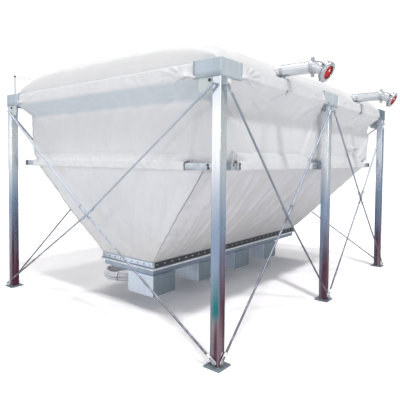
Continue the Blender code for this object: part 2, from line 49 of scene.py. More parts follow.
# ------------------------------------------------------------------ sizes
HALF_X, HALF_Y, POST = 2.15, 1.75, 0.09
RAIL_LOW, RAIL_TOP = 2.3755, 2.482
HEAD_LOW, HEAD_TOP = 2.35, 2.50
RING_Z, RING = 1.63, 0.06
RING_FACE_X, RING_FACE_Y = 2.006, 1.602
RING_END_X, RING_END_Y = 1.80, 1.57
BAND_X, BAND_Y = 2.1406, 1.7406
WALL_X, WALL_Y = 1.9445, 1.5405
TROUGH_X, TROUGH_Y = 1.635, 0.445
TROUGH_TOP, TROUGH_LIP, TROUGH_LOW = 0.556, 0.472, 0.408
BOX_W, BOX_D, BOX_LOW, BOX_PITCH, BOX_FIRST = 0.35, 0.42, 0.175, 0.764, -1.633
BRACE_R, BRACE_HIGH, BRACE_FOOT = 0.010, 2.29, 0.062
BRACE_SAG = {"left": 0.070, "right": 0.040, "end": 0.088}   # at the crossing
PIPE_X, PIPE_R, PIPE_Z = 1.07, 0.057, 2.577
PIPE_BEND, PIPE_TILT = 2.02, math.radians(30.0)
ROOF_X, ROOF_Y, ROOF_LOW, ROOF_HIGH = 2.056, 1.656, 2.4895, 2.875
HOSE_R, COIL_X, COIL_Y, COIL_R = 0.018, -0.80, 0.98, 0.30
SPIGOT_X, SPIGOT_Z = -1.33, 0.25


# ------------------------------------------------------------------ camera
def make_camera():
    data = bpy.data.cameras.new("camera")
    cam = bpy.data.objects.new("camera", data)
    SCENE.collection.objects.link(cam)
    ahead = Vector((0.78973, 0.61231, -0.03752)).normalized()
    right = ahead.cross(Vector((0, 0, 1))).normalized()
    up = right.cross(ahead)
    roll = math.radians(0.5855)
    r2 = right * math.cos(roll) + up * math.sin(roll)
    u2 = -right * math.sin(roll) + up * math.cos(roll)
    turn = Matrix((r2, u2, -ahead)).transposed().to_4x4()
    cam.matrix_world = Matrix.Translation(Vector((-4.7306, -3.7438, 1.6875))
                                          + SHIFT) @ turn
    data.sensor_width = 36.0
    data.lens = 37.198
    data.shift_x = -0.0480
    data.shift_y = -0.0612
    data.clip_end = 200.0
    SCENE.camera = cam
    return cam


CAMERA = make_camera()


# ------------------------------------------------------------------ helpers
def add(name, mesh, mat=None):
    """Link a mesh as a piece that rides on the fixed body."""
    obj = bpy.data.objects.new(name, mesh)
    SCENE.collection.objects.link(obj)
    if mat is not None:
        mats = mat if isinstance(mat, (list, tuple)) else [mat]
        mesh.materials.clear()
        for m in mats:
            mesh.materials.append(m)
    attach(obj, "root")
    return obj


def from_bmesh(bm, name, smooth=35):
    bmesh.ops.translate(bm, verts=bm.verts, vec=SHIFT)
    mesh = bpy.data.meshes.new(name)
    bm.to_mesh(mesh)
    bm.free()
    if smooth:
        mesh.shade_smooth()
        mesh.set_sharp_from_angle(angle=math.radians(smooth))
    return mesh


def grid_mesh(name, points, uv=None, close=False, keep=None, smooth=180):
    """A mesh from a grid of points with shape (rows, columns, 3).

    keep is a mask of the faces that stay, and uv a grid of cloth
    coordinates in metres.
    """
    rows, cols = points.shape[:2]
    index = np.arange(rows * cols).reshape(rows, cols)
    if close:
        a, d = index[:-1], index[1:]
        b, c = np.roll(a, -1, 1), np.roll(d, -1, 1)
    else:
        a, b = index[:-1, :-1], index[:-1, 1:]
        d, c = index[1:, :-1], index[1:, 1:]
    quads = np.stack([a, b, c, d], -1)
    if keep is not None:
        quads = quads[keep]
    quads = quads.reshape(-1, 4)
    flat = points.reshape(-1, 3) + np.array(SHIFT)
    used = np.unique(quads)
    renum = np.full(rows * cols, -1)
    renum[used] = np.arange(len(used))
    mesh = bpy.data.meshes.new(name)
    mesh.vertices.add(len(used))
    mesh.vertices.foreach_set("co", flat[used].ravel())
    mesh.loops.add(len(quads) * 4)
    mesh.loops.foreach_set("vertex_index", renum[quads].ravel())
    mesh.polygons.add(len(quads))
    mesh.polygons.foreach_set("loop_start", np.arange(len(quads)) * 4)
    mesh.update(calc_edges=True)
    if uv is not None:
        layer = mesh.uv_layers.new(name="cloth")
        layer.data.foreach_set("uv", uv.reshape(-1, 2)[quads].ravel())
    mesh.validate()
    mesh.shade_smooth()
    if smooth < 180:
        mesh.set_sharp_from_angle(angle=math.radians(smooth))
    return mesh


def fade(t):
    return t * t * t * (t * (t * 6 - 15) + 10)


def step(low, high, x):
    """0 below low, 1 above high, smooth between."""
    t = np.clip((np.asarray(x, float) - low) / (high - low), 0, 1)
    return t * t * (3 - 2 * t)


def noise(x, y, seed=0):
    """Gradient noise on a grid of numbers, about -1 to 1."""
    x, y = np.asarray(x, float), np.asarray(y, float)
    xi, yi = np.floor(x).astype(np.int64), np.floor(y).astype(np.int64)
    xf, yf = x - xi, y - yi

    def corner(ix, iy, dx, dy):
        h = (ix * 374761393 + iy * 668265263 + seed * 1274126177) & 0xFFFFFFFF
        h = ((h ^ (h >> 13)) * 1274126177) & 0xFFFFFFFF
        h = h ^ (h >> 16)
        a = h / 4294967296.0 * 2 * math.pi
        return np.cos(a) * dx + np.sin(a) * dy

    u, v = fade(xf), fade(yf)
    n00 = corner(xi, yi, xf, yf)
    n10 = corner(xi + 1, yi, xf - 1, yf)
    n01 = corner(xi, yi + 1, xf, yf - 1)
    n11 = corner(xi + 1, yi + 1, xf - 1, yf - 1)
    low, high = n00 + (n10 - n00) * u, n01 + (n11 - n01) * u
    return (low + (high - low) * v) * 1.5


def ridge(x, y, seed=0, sharp=2.0):
    """Noise with narrow crests, 0 to 1, like folds in cloth."""
    return np.clip(1 - np.abs(noise(x, y, seed)), 0, 1) ** sharp


def crease(px, py, ax, ay, bx, by, width, skew=0.0):
    """Height of one fold from a to b, 1 on its line and 0 off it."""
    dx, dy = bx - ax, by - ay
    length = math.hypot(dx, dy)
    t = ((px - ax) * dx + (py - ay) * dy) / length ** 2
    off = ((px - ax) * -dy + (py - ay) * dx) / length / width
    body = np.exp(-off * off)
    if skew:
        body = body * (1 + skew * np.tanh(off * 1.5))
    ends = step(-0.08, 0.18, t) * (1 - step(0.80, 1.08, t))
    return body * ends


def smooth_line(points, count):
    """Points along a Catmull-Rom curve through the given points."""
    pts = [Vector(p) for p in points]
    pts = [pts[0] * 2 - pts[1]] + pts + [pts[-1] * 2 - pts[-2]]
    out = []
    spans = len(pts) - 3
    for k in range(count + 1):
        t = k / count * spans
        i = min(int(t), spans - 1)
        t -= i
        a, b, c, d = pts[i:i + 4]
        out.append(0.5 * ((2 * b) + (c - a) * t
                          + (2 * a - 5 * b + 4 * c - d) * t * t
                          + (3 * b - a - 3 * c + d) * t ** 3))
    return out


def ring_frames(points):
    """A frame that doesn't twist along a line of points."""
    pts = [Vector(p) for p in points]
    tangents = []
    for i in range(len(pts)):
        a, b = pts[max(i - 1, 0)], pts[min(i + 1, len(pts) - 1)]
        tangents.append((b - a).normalized())
    side = tangents[0].orthogonal().normalized()
    frames = []
    for i, way in enumerate(tangents):
        side = (side - way * side.dot(way)).normalized()
        frames.append((pts[i], side, way.cross(side), way))
    return frames


def tube(bm, points, radius, sides=10, caps=True, round_ends=False, uv=None):
    """A round tube along points. radius is a number or one per point."""
    frames = ring_frames(points)
    radii = radius if hasattr(radius, "__len__") else [radius] * len(frames)
    if round_ends:
        frames = list(frames)
        first, last = frames[0], frames[-1]
        lead, tail = [], []
        for k in (0.30, 0.70, 0.95):
            lead.append(((first[0] - first[3] * radii[0] * math.cos(math.asin(k)),
                          first[1], first[2], first[3]), radii[0] * k))
            tail.append(((last[0] + last[3] * radii[-1] * math.cos(math.asin(k)),
                          last[1], last[2], last[3]), radii[-1] * k))
        frames = [f for f, _ in lead] + frames + [f for f, _ in reversed(tail)]
        radii = [r for _, r in lead] + list(radii) + [r for _, r in reversed(tail)]
    loops = []
    for (p, a, b, _), r in zip(frames, radii):
        loops.append([bm.verts.new(p + (a * math.cos(t) + b * math.sin(t)) * r)
                      for t in (2 * math.pi * k / sides for k in range(sides))])
    run = 0.0
    for i in range(len(loops) - 1):
        nxt = run + (frames[i + 1][0] - frames[i][0]).length
        for k in range(sides):
            j = (k + 1) % sides
            f = bm.faces.new((loops[i][k], loops[i][j],
                              loops[i + 1][j], loops[i + 1][k]))
            f.smooth = True
            if uv is not None:
                ring = [(k / sides, run), ((k + 1) / sides, run),
                        ((k + 1) / sides, nxt), (k / sides, nxt)]
                for loop, co in zip(f.loops, ring):
                    loop[uv].uv = co
        run = nxt
    if caps:
        bm.faces.new(list(reversed(loops[0])))
        bm.faces.new(loops[-1])
    return loops


def rbox(bm, low, high, radius=0.003, segments=2, matrix=None):
    """A box with rounded edges between two corners."""
    size = [abs(h - l) for l, h in zip(low, high)]
    mid = [(h + l) / 2 for l, h in zip(low, high)]
    made = bmesh.ops.create_cube(bm, size=1.0, matrix=Matrix.Diagonal((*size, 1)))
    verts = made["verts"]
    if radius:
        edges = list({e for v in verts for e in v.link_edges})
        got = bmesh.ops.bevel(bm, geom=edges, offset=min(radius, min(size) * 0.49),
                              segments=segments, profile=0.5, affect="EDGES",
                              clamp_overlap=True)
        verts = list({v for f in got["faces"] for v in f.verts}
                     | {v for v in verts if v.is_valid})
    place = Matrix.Translation(mid)
    bmesh.ops.transform(bm, verts=verts, matrix=(matrix or Matrix()) @ place)
    return verts


def turned(bm, profile, start, axis, sides=24, closed=True):
    """Turn a profile of (distance along the axis, radius) round an axis."""
    axis = Vector(axis).normalized()
    start = Vector(start)
    a = axis.orthogonal().normalized()
    b = axis.cross(a)
    loops = []
    for along, r in profile:
        c = start + axis * along
        if r < 1e-6:
            loops.append([bm.verts.new(c)])
        else:
            loops.append([bm.verts.new(c + (a * math.cos(t) + b * math.sin(t)) * r)
                          for t in (2 * math.pi * k / sides for k in range(sides))])
    for p, q in zip(loops, loops[1:]):
        for k in range(sides):
            j = (k + 1) % sides
            if len(p) == 1 and len(q) == 1:
                continue
            if len(p) == 1:
                f = bm.faces.new((p[0], q[j], q[k]))
            elif len(q) == 1:
                f = bm.faces.new((p[k], p[j], q[0]))
            else:
                f = bm.faces.new((p[k], p[j], q[j], q[k]))
            f.smooth = True
    if closed:
        if len(loops[0]) > 1:
            bm.faces.new(list(reversed(loops[0])))
        if len(loops[-1]) > 1:
            bm.faces.new(loops[-1])
    return loops


def bolt(bm, at, axis, r=0.011, head=0.008, washer=True, stud=0.0):
    """A hexagon head with a washer, its back at the point at."""
    at, axis = Vector(at), Vector(axis).normalized()
    base = 0.0
    if washer:
        turned(bm, [(0, r * 1.55), (0.0022, r * 1.55), (0.0026, r * 1.45)],
               at, axis, 16)
        base = 0.0024
    turned(bm, [(base, r), (base + head * 0.8, r), (base + head, r * 0.84)],
           at, axis, 6)
    if stud:
        turned(bm, [(base + head, r * 0.52), (base + head + stud, r * 0.52),
                    (base + head + stud + 0.001, r * 0.42)], at, axis, 10)


def shell(obj, thick, offset=-1.0):
    mod = obj.modifiers.new("thickness", "SOLIDIFY")
    mod.thickness = thick
    mod.offset = offset
    mod.use_even_offset = False
    mod.use_rim = True
    return obj


# ------------------------------------------------------------------ materials
class Nodes:
    """A short way to write node trees."""

    def __init__(self, name):
        self.mat = bpy.data.materials.new(name)
        self.mat.use_nodes = True
        self.tree = self.mat.node_tree
        self.shader = self.tree.nodes["Principled BSDF"]
        self.coord = self.tree.nodes.new("ShaderNodeTexCoord")

    def node(self, kind, **values):
        made = self.tree.nodes.new("ShaderNode" + kind)
        for key, value in values.items():
            setattr(made, key, value)
        return made

    def link(self, a, b):
        self.tree.links.new(a, b)

    def point(self, scale=(1, 1, 1), turn=(0, 0, 0), source="Object"):
        m = self.node("Mapping")
        m.inputs["Scale"].default_value = scale
        m.inputs["Rotation"].default_value = turn
        self.link(self.coord.outputs[source], m.inputs["Vector"])
        return m.outputs["Vector"]

    def noise(self, scale, detail=3.0, rough=0.5, vector=None, distort=0.0):
        n = self.node("TexNoise")
        n.inputs["Scale"].default_value = scale
        n.inputs["Detail"].default_value = detail
        n.inputs["Roughness"].default_value = rough
        n.inputs["Distortion"].default_value = distort
        self.link(vector if vector is not None else self.point(),
                  n.inputs["Vector"])
        return n.outputs["Fac"]

    def wave(self, scale, vector, axis="X", distort=0.0, profile="SIN"):
        n = self.node("TexWave", wave_type="BANDS", bands_direction=axis,
                      wave_profile=profile)
        n.inputs["Scale"].default_value = scale
        n.inputs["Distortion"].default_value = distort
        n.inputs["Detail"].default_value = 1.0
        self.link(vector, n.inputs["Vector"])
        return n.outputs["Fac"]

    def ramp(self, fac, stops):
        r = self.node("ValToRGB")
        el = r.color_ramp.elements
        while len(el) < len(stops):
            el.new(0.5)
        for e, (pos, value) in zip(el, stops):
            e.position = pos
            e.color = (*value, 1.0) if hasattr(value, "__len__") else (value,) * 3 + (1.0,)
        self.link(fac, r.inputs["Fac"])
        return r.outputs["Color"]

    def mix(self, fac, a, b, kind="MIX"):
        m = self.node("Mix", data_type="RGBA", blend_type=kind)
        for value, sock in ((fac, m.inputs["Factor"]), (a, m.inputs["A"]),
                            (b, m.inputs["B"])):
            if isinstance(value, bpy.types.NodeSocket):
                self.link(value, sock)
            elif hasattr(value, "__len__"):
                sock.default_value = (*value, 1.0)
            else:
                sock.default_value = value
        # the first A and B are the float ones
        for s in m.inputs:
            if s.type == "RGBA":
                value = a if s.name == "A" else b
                if isinstance(value, bpy.types.NodeSocket):
                    self.link(value, s)
                else:
                    s.default_value = (*value, 1.0) if hasattr(value, "__len__") \
                        else (value,) * 3 + (1.0,)
        return next(o for o in m.outputs if o.type == "RGBA")

    def math(self, kind, a, b=0.0):
        m = self.node("Math", operation=kind)
        for value, sock in ((a, m.inputs[0]), (b, m.inputs[1])):
            if isinstance(value, bpy.types.NodeSocket):
                self.link(value, sock)
            else:
                sock.default_value = value
        return m.outputs[0]

    def span(self, fac, low, high, to_low, to_high):
        m = self.node("MapRange")
        self.link(fac, m.inputs["Value"])
        for name, value in (("From Min", low), ("From Max", high),
                            ("To Min", to_low), ("To Max", to_high)):
            m.inputs[name].default_value = value
        return m.outputs["Result"]

    def bump(self, height, strength, distance, after=None):
        b = self.node("Bump")
        b.inputs["Strength"].default_value = strength
        b.inputs["Distance"].default_value = distance
        self.link(height, b.inputs["Height"])
        if after is not None:
            self.link(after, b.inputs["Normal"])
        return b.outputs["Normal"]

    def height_z(self):
        s = self.node("SeparateXYZ")
        self.link(self.coord.outputs["Object"], s.inputs[0])
        return s.outputs["Z"]

    def set(self, name, value):
        sock = self.shader.inputs[name]
        if isinstance(value, bpy.types.NodeSocket):
            self.link(value, sock)
        else:
            sock.default_value = value


def fabric(name, light, dark, dirt=0.5, use_uv=True, warm=0.0, shoulder=None,
           long_face_painted_shading=None):
    """Plain-woven coated polyester, off-white."""
    n = Nodes(name)
    source = "UV" if use_uv else "Object"
    cloth = n.point(source=source)
    broad = n.noise(0.9, 4, 0.55)
    fine = n.noise(9.0, 4, 0.6)
    colour = n.ramp(broad, [(0.30, dark), (0.70, light)])
    colour = n.mix(n.span(fine, 0.35, 0.75, 0.0, 0.22), colour,
                   tuple(c * 0.90 for c in dark))
    # faint vertical streaks, as on cloth that came off a roll
    streak = n.noise(1.0, 3, 0.6, n.point((14.0, 0.6, 14.0), source=source))
    colour = n.mix(n.span(streak, 0.45, 0.75, 0.0, 0.16), colour,
                   tuple(c * 0.93 for c in dark))
    # settled dust low down on the bag
    z = n.height_z()
    low = n.span(z, 0.55, 1.10, 1.0, 0.0)
    dust = n.math("MULTIPLY", low, n.span(fine, 0.3, 0.8, 0.1, dirt))
    colour = n.mix(dust, colour, (0.50, 0.47, 0.43))
    if warm:
        blot = n.noise(1.4, 4, 0.6, n.point((1.0, 1.0, 1.3)))
        colour = n.mix(n.span(blot, 0.50, 0.72, 0.0, warm), colour, (0.60, 0.565, 0.50))
    # painted shade: on the short sides the shoulder under the rail, which leans in and faces down, is coloured
    # darker and bluer
    if shoulder is not None:
        s = n.node("SeparateXYZ")
        n.link(n.coord.outputs["Normal"], s.inputs[0])
        short = n.span(n.math("ABSOLUTE", s.outputs["X"]), 0.25, 0.45, 0.0, 1.0)
        on = n.math("MULTIPLY", n.span(z, 2.185, 2.225, 0.0, 1.0),
                    n.span(z, 2.345, 2.368, 1.0, 0.0))
        colour = n.mix(n.math("MULTIPLY", on, short), colour,
                       n.mix(1.0, colour, shoulder, "MULTIPLY"))
        # a darker line at the seam above the ring: painted shade along the pocket's sewn top edge
        hem_painted_shade = n.math("MULTIPLY", n.span(z, 1.7615, 1.7635, 0.0, 1.0),
                     n.span(z, 1.7665, 1.7685, 1.0, 0.0))
        colour = n.mix(n.math("MULTIPLY", hem_painted_shade, 0.22), colour, (0.40, 0.40, 0.42))
    if long_face_painted_shading is not None:
        # painted shade: from the corner seam on, the long sides are darker, and darker still just past the seam
        s = n.node("SeparateXYZ")
        n.link(n.coord.outputs["Object"], s.inputs[0])
        y = n.math("ABSOLUTE", n.math("SUBTRACT", s.outputs["Y"], SHIFT[1]))
        limit = n.span(z, 0.557, 1.599, TROUGH_Y - 0.0118, WALL_Y - 0.155)
        past = n.math("SUBTRACT", y, limit)
        facing = n.span(past, -0.008, 0.010, 0.0, 1.0)
        tone = n.mix(1.0, colour, long_face_painted_shading, "MULTIPLY")
        tone = n.mix(n.span(past, 0.02, 0.16, 0.75, 0.0), tone,
                     n.mix(1.0, tone, (0.90, 0.895, 0.885), "MULTIPLY"))
        colour = n.mix(facing, colour, tone)
    n.set("Base Color", colour)
    n.set("Roughness", n.span(fine, 0.2, 0.8, 0.62, 0.86))
    n.set("Metallic", 0.0)
    n.set("Sheen Weight", 0.18)
    n.set("Sheen Roughness", 0.45)
    n.set("Specular IOR Level", 0.32)
    warp = n.wave(150.0, cloth, "X")
    weft = n.wave(150.0, cloth, "Y")
    weave = n.math("MULTIPLY", warp, weft)
    crush = n.noise(26.0, 5, 0.62, n.point(source="Object"))
    first = n.bump(weave, 0.22, 0.0006)
    n.set("Normal", n.bump(crush, 0.32, 0.0035, first))
    return n.mat


def galvanised(name, light, dark, low_painted_shade=None, streak=1.0, rough=(0.26, 0.48),
               spangle=38.0, metallic=0.88, z_range=(0.2, 1.5), long_face_painted_shading=None,
               low_long_painted_shade=None, flake=0.14, along="Z", mid_painted_shade=None, patch=False,
               top_painted_shade=None):
    """Hot-dip galvanised steel: spangle and drawn streaks, with painted light and shade.

    The faces that look along y can get painted shading, darker or lighter; low down
    a painted dark reflection, with its own tone on those faces; painted shade on the
    lower half, under the head and on the upper sides.
    """
    n = Nodes(name)
    cells = n.node("TexVoronoi", feature="F1")
    cells.inputs["Scale"].default_value = spangle
    n.link(n.point(), cells.inputs["Vector"])
    cell = n.node("SeparateColor")
    n.link(cells.outputs["Color"], cell.inputs[0])
    stretch = {"X": (0.7, 18.0, 18.0), "Y": (18.0, 0.7, 18.0), "Z": (18.0, 18.0, 0.7)}
    drawn = n.noise(1.0, 2, 0.5, n.point(stretch[along]))
    cloud = n.noise(2.4, 3, 0.5)
    colour = n.ramp(cloud, [(0.32, dark), (0.68, light)])
    colour = n.mix(n.span(cell.outputs[0], 0, 1, 0.0, flake), colour,
                   tuple(c * 0.74 for c in dark))
    colour = n.mix(n.span(drawn, 0.46, 0.70, 0.0, 0.55 * streak), colour,
                   tuple(min(1.0, c * 1.20) for c in light))
    dull = n.noise(1.0, 2, 0.5, n.point(stretch[along], (0.3, 0.2, 0.1)))
    colour = n.mix(n.span(dull, 0.54, 0.70, 0.0, 0.40 * streak), colour,
                   tuple(c * 0.66 for c in dark))
    facing = None
    if long_face_painted_shading is not None or low_long_painted_shade is not None:
        s = n.node("SeparateXYZ")
        n.link(n.coord.outputs["Normal"], s.inputs[0])
        facing = n.span(n.math("ABSOLUTE", s.outputs["Y"]), 0.45, 0.85, 0.0, 1.0)
    # painted shading: the faces that look along y are made darker or lighter
    if long_face_painted_shading is not None:
        colour = n.mix(facing, colour,
                       n.mix(1.0, colour, long_face_painted_shading, "MULTIPLY"))
    # painted shade and reflection: darker towards the foot, with its own tone on the faces that look along y
    if low_painted_shade is not None:
        z = n.height_z()
        wob = n.math("ADD", z, n.span(cloud, 0, 1, -0.15, 0.15))
        wob = n.math("ADD", wob, n.span(drawn, 0.3, 0.7, -0.22, 0.22))
        # painted reflection: the lower half darker and bluer; and painted shade just under the head
        if mid_painted_shade is not None:
            half = n.math("ADD", z, n.span(drawn, 0.3, 0.7, -0.07, 0.07))
            half = n.span(half, 1.15, 1.72, 1.0, 0.0)
            colour = n.mix(half, colour, n.mix(1.0, colour, mid_painted_shade, "MULTIPLY"))
            colour = n.mix(n.span(z, 2.02, 2.26, 0.0, 1.0), colour,
                           n.mix(1.0, colour, (0.74, 0.78, 0.85), "MULTIPLY"))
        low = n.span(wob, z_range[0], z_range[1], 1.0, 0.0)
        tone = low_painted_shade
        if low_long_painted_shade is not None:
            tone = n.mix(facing, low_painted_shade, low_long_painted_shade)
        if patch:
            # a dark red band low on the inner half of the short sides' faces
            s2 = n.node("SeparateXYZ")
            n.link(n.coord.outputs["Object"], s2.inputs[0])
            y = n.math("ABSOLUTE", n.math("SUBTRACT", s2.outputs["Y"], SHIFT[1]))
            edge = n.math("ADD", y, n.span(drawn, 0.3, 0.7, -0.009, 0.009))
            side = n.math("SUBTRACT", 1.0, facing)
            red = n.math("MULTIPLY", n.span(edge, 1.690, 1.716, 0.0, 0.85),
                         n.span(z, 0.42, 0.51, 1.0, 0.0))
            tone = n.mix(n.math("MULTIPLY", side, red), tone, (0.150, 0.048, 0.075))
        streaky = n.mix(n.span(drawn, 0.50, 0.72, 0.0, 0.25), tone, light)
        colour = n.mix(low, colour, streaky)
        if patch == "teal":
            # a blue-green band above the red one, strongest near the corner
            rise = n.math("ADD", z, n.span(drawn, 0.3, 0.7, -0.06, 0.06))
            teal = n.math("MULTIPLY", n.span(rise, 0.40, 0.50, 0.0, 1.0),
                          n.span(rise, 0.56, 0.88, 1.0, 0.0))
            teal = n.math("MULTIPLY", teal, n.span(edge, 1.668, 1.715, 0.10, 1.0))
            teal = n.math("MULTIPLY", teal, n.span(drawn, 0.35, 0.60, 0.55, 0.95))
            colour = n.mix(n.math("MULTIPLY", side, teal), colour, (0.012, 0.21, 0.22))
    # painted shade: the faces that look up are made darker
    if top_painted_shade is not None:
        s = n.node("SeparateXYZ")
        n.link(n.coord.outputs["Normal"], s.inputs[0])
        colour = n.mix(n.span(s.outputs["Z"], 0.10, 0.80, 0.0, 1.0), colour,
                       n.mix(1.0, colour, top_painted_shade, "MULTIPLY"))
    n.set("Base Color", colour)
    n.set("Metallic", metallic)
    mixed = n.math("ADD", n.span(cell.outputs[1], 0, 1, -0.012, 0.012),
                   n.span(cloud, 0.25, 0.75, rough[0], rough[1]))
    n.set("Roughness", mixed)
    n.set("Normal", n.bump(n.noise(7.0, 2, 0.5), 0.05, 0.0015,
                           n.bump(n.noise(40.0, 2, 0.5), 0.03, 0.0003)))
    return n.mat


def plastic(name, light, dark, rough=(0.35, 0.5), scale=30.0, coat=0.0,
            bump=0.12, distance=0.0008, specular=0.5):
    n = Nodes(name)
    fine = n.noise(scale, 4, 0.6)
    n.set("Base Color", n.ramp(fine, [(0.30, dark), (0.72, light)]))
    n.set("Roughness", n.span(fine, 0.25, 0.75, rough[0], rough[1]))
    n.set("Coat Weight", coat)
    n.set("Coat Roughness", 0.15)
    n.set("Specular IOR Level", specular)
    n.set("Normal", n.bump(n.noise(scale * 6, 3, 0.6), bump, distance))
    return n.mat


# the walls' cloth, with painted shade on the short sides' shoulder
BAG = fabric("bag_fabric_wall", (0.70, 0.705, 0.725), (0.64, 0.645, 0.67),
             shoulder=(0.76, 0.825, 0.86))
# the hopper's cloth, with painted shade on its long sides past the corner seams
BAG_HOPPER = fabric("bag_fabric_hopper", (0.70, 0.71, 0.745), (0.64, 0.645, 0.675), warm=0.4,
                    long_face_painted_shading=(0.94, 0.93, 0.935))
BAG_ROOF = fabric("bag_fabric_roof", (0.715, 0.715, 0.72), (0.68, 0.68, 0.69), 0.3)
GALV = galvanised("galvanised_steel", (0.56, 0.60, 0.65), (0.45, 0.49, 0.545), along="X")
# brace rods: darker towards the foot as painted shade; the short sides' rods are a lighter copy, painted light
GALV_ROD = galvanised("galvanised_rod", (0.40, 0.45, 0.52), (0.29, 0.33, 0.40),
                      low_painted_shade=(0.135, 0.120, 0.150), z_range=(0.10, 1.45),
                      rough=(0.44, 0.56), spangle=20.0, flake=0.05, streak=0.4)
GALV_ROD_SHORT_LIT = galvanised("galvanised_rod_short_lit", (0.56, 0.61, 0.70), (0.46, 0.51, 0.60),
                            low_painted_shade=(0.150, 0.140, 0.170), z_range=(0.10, 1.20),
                            rough=(0.46, 0.58), spangle=20.0, flake=0.05, streak=0.4)
# trough sheet, with painted shade on the faces that look along y
SHEET = galvanised("sheet_steel", (0.46, 0.55, 0.66), (0.34, 0.42, 0.52),
                   rough=(0.28, 0.44), spangle=26.0, long_face_painted_shading=(0.62, 0.62, 0.64),
                   along="X", streak=0.5)
ZINC = galvanised("zinc_bolts", (0.52, 0.54, 0.56), (0.30, 0.32, 0.35),
                  rough=(0.25, 0.42), spangle=140.0)
# aluminium, with painted shade on its upper sides so they stay off white
ALU = galvanised("aluminium", (0.80, 0.83, 0.86), (0.74, 0.77, 0.81),
                 rough=(0.30, 0.36), spangle=9.0, metallic=0.85, streak=0.10,
                 flake=0.03, along="Y", top_painted_shade=(0.37, 0.37, 0.38))
RED = plastic("red_cap", (0.58, 0.004, 0.010), (0.44, 0.003, 0.008), (0.30, 0.45),
              24.0, specular=0.22)
HOSE = plastic("clear_hose", (0.88, 0.89, 0.93), (0.70, 0.72, 0.78), (0.12, 0.26),
               40.0, coat=0.5)
CORD = plastic("cord", (0.62, 0.62, 0.63), (0.44, 0.44, 0.46), (0.6, 0.8), 200.0,
               bump=0.5)
# a near-black for the insides of openings, painted shade; no piece uses it
DARK = plastic("dark_opening", (0.030, 0.033, 0.038), (0.012, 0.013, 0.016),
               (0.6, 0.8), 30.0)

SLOT_MAT = {"galvanised_steel": GALV, "sheet_steel": SHEET, "aluminium": ALU,
            "bag_fabric": BAG, "red_cap": RED, "clear_hose": HOSE, "cord": CORD}
for row in frame["record"]["subparts"]:
    obj = bpy.data.objects.get(row["node"])
    if obj is None:
        continue
    mat = SLOT_MAT[row["material_slot"]]
    if row["node"].startswith(("brace_left", "brace_right")):
        mat = GALV_ROD_SHORT_LIT
    elif row["node"].startswith(("brace_", "corner_rod")):
        mat = GALV_ROD
    if not obj.material_slots:
        obj.data.materials.append(mat)
    for s in obj.material_slots:
        s.material = mat


# ------------------------------------------------------------------ hose
def make_hose():
    """The whole hose: out of the spigot, down, five turns and the end."""
    bm = bmesh.new()
    uv = bm.loops.layers.uv.new("hose")
    start = (SPIGOT_X, 0.0356, SPIGOT_Z)
    tail = [start, (SPIGOT_X, 0.085, SPIGOT_Z), (SPIGOT_X, 0.150, 0.244),
            (-1.315, 0.240, 0.188), (-1.268, 0.330, 0.098),
            (-1.200, 0.425, 0.030), (-1.105, 0.515, HOSE_R + 0.0005),
            (-1.015, 0.582, HOSE_R + 0.0005), (-0.925, 0.630, HOSE_R + 0.0005)]
    line = smooth_line(tail, 28)
    # turns: two on the floor, two on them and one on top
    turns = [(0.318, 0.0185), (0.282, 0.0185), (0.282, 0.0545),
             (0.318, 0.0545), (0.300, 0.0852)]
    enter, per = math.radians(-90), 24
    total = per * 5 + per // 6
    coil = []
    for k in range(total + 1):
        t = k / per
        i = min(int(t), 4)
        part = t - i
        r0, z0 = turns[i]
        r1, z1 = turns[min(i + 1, 4)]
        # each turn keeps its place and passes to the next over its last part
        w = float(step(0.72, 1.0, part)) if i < 4 else 0.0
        a = enter + 2 * math.pi * t
        r, z = r0 + (r1 - r0) * w, z0 + (z1 - z0) * w
        coil.append(Vector((COIL_X + r * math.cos(a), COIL_Y + r * math.sin(a), z)))
    leave = math.radians(-30)
    out_from = Vector((COIL_X + COIL_R * math.cos(leave),
                       COIL_Y + COIL_R * math.sin(leave), 0.0852))
    way = Vector((-math.sin(leave), math.cos(leave), 0.0))
    side = Vector((math.cos(leave), math.sin(leave), 0.0))
    end = [out_from + way * 0.205 + side * 0.002 - Vector((0, 0, 0.006)),
           out_from + way * 0.285 + side * 0.008 - Vector((0, 0, 0.030)),
           out_from + way * 0.375 + side * 0.018 - Vector((0, 0, 0.0600)),
           out_from + way * 0.470 + side * 0.030 - Vector((0, 0, 0.0667)),
           out_from + way * 0.580 + side * 0.050 - Vector((0, 0, 0.0667))]
    tail_end = smooth_line(end, 16)
    path = line + coil[1:] + [out_from + way * 0.10] + tail_end
    return path


HOSE_PATH = make_hose()


# ------------------------------------------------------------------ bag
# The bag is one loop of cloth: its columns run round the silo, its rows from
# the ring up to the top rail and over it.
SIDES = ("front", "right", "back", "left")
ALONG = np.array([(1, 0), (0, 1), (-1, 0), (0, -1)], float)
OUT = np.array([(0, -1), (1, 0), (0, 1), (-1, 0)], float)


def loop_columns(straight, corner):
    """The columns of a loop: side, place along it, and turn at a corner."""
    cols = []
    for k in range(4):
        for f in straight[k]:
            cols.append((k, f, 0.0))
        for i in range(1, corner):
            cols.append((k, 1.0, i / corner))
    return np.array(cols)


def stations(marks, pitch, length):
    """Places from -1 to 1 that hit every mark, about pitch apart."""
    marks = sorted({-length, length, *marks})
    out = []
    for a, b in zip(marks, marks[1:]):
        n = max(1, round((b - a) / pitch))
        out += list(np.linspace(a, b, n + 1)[:-1])
    out.append(length)
    return np.array(out) / length


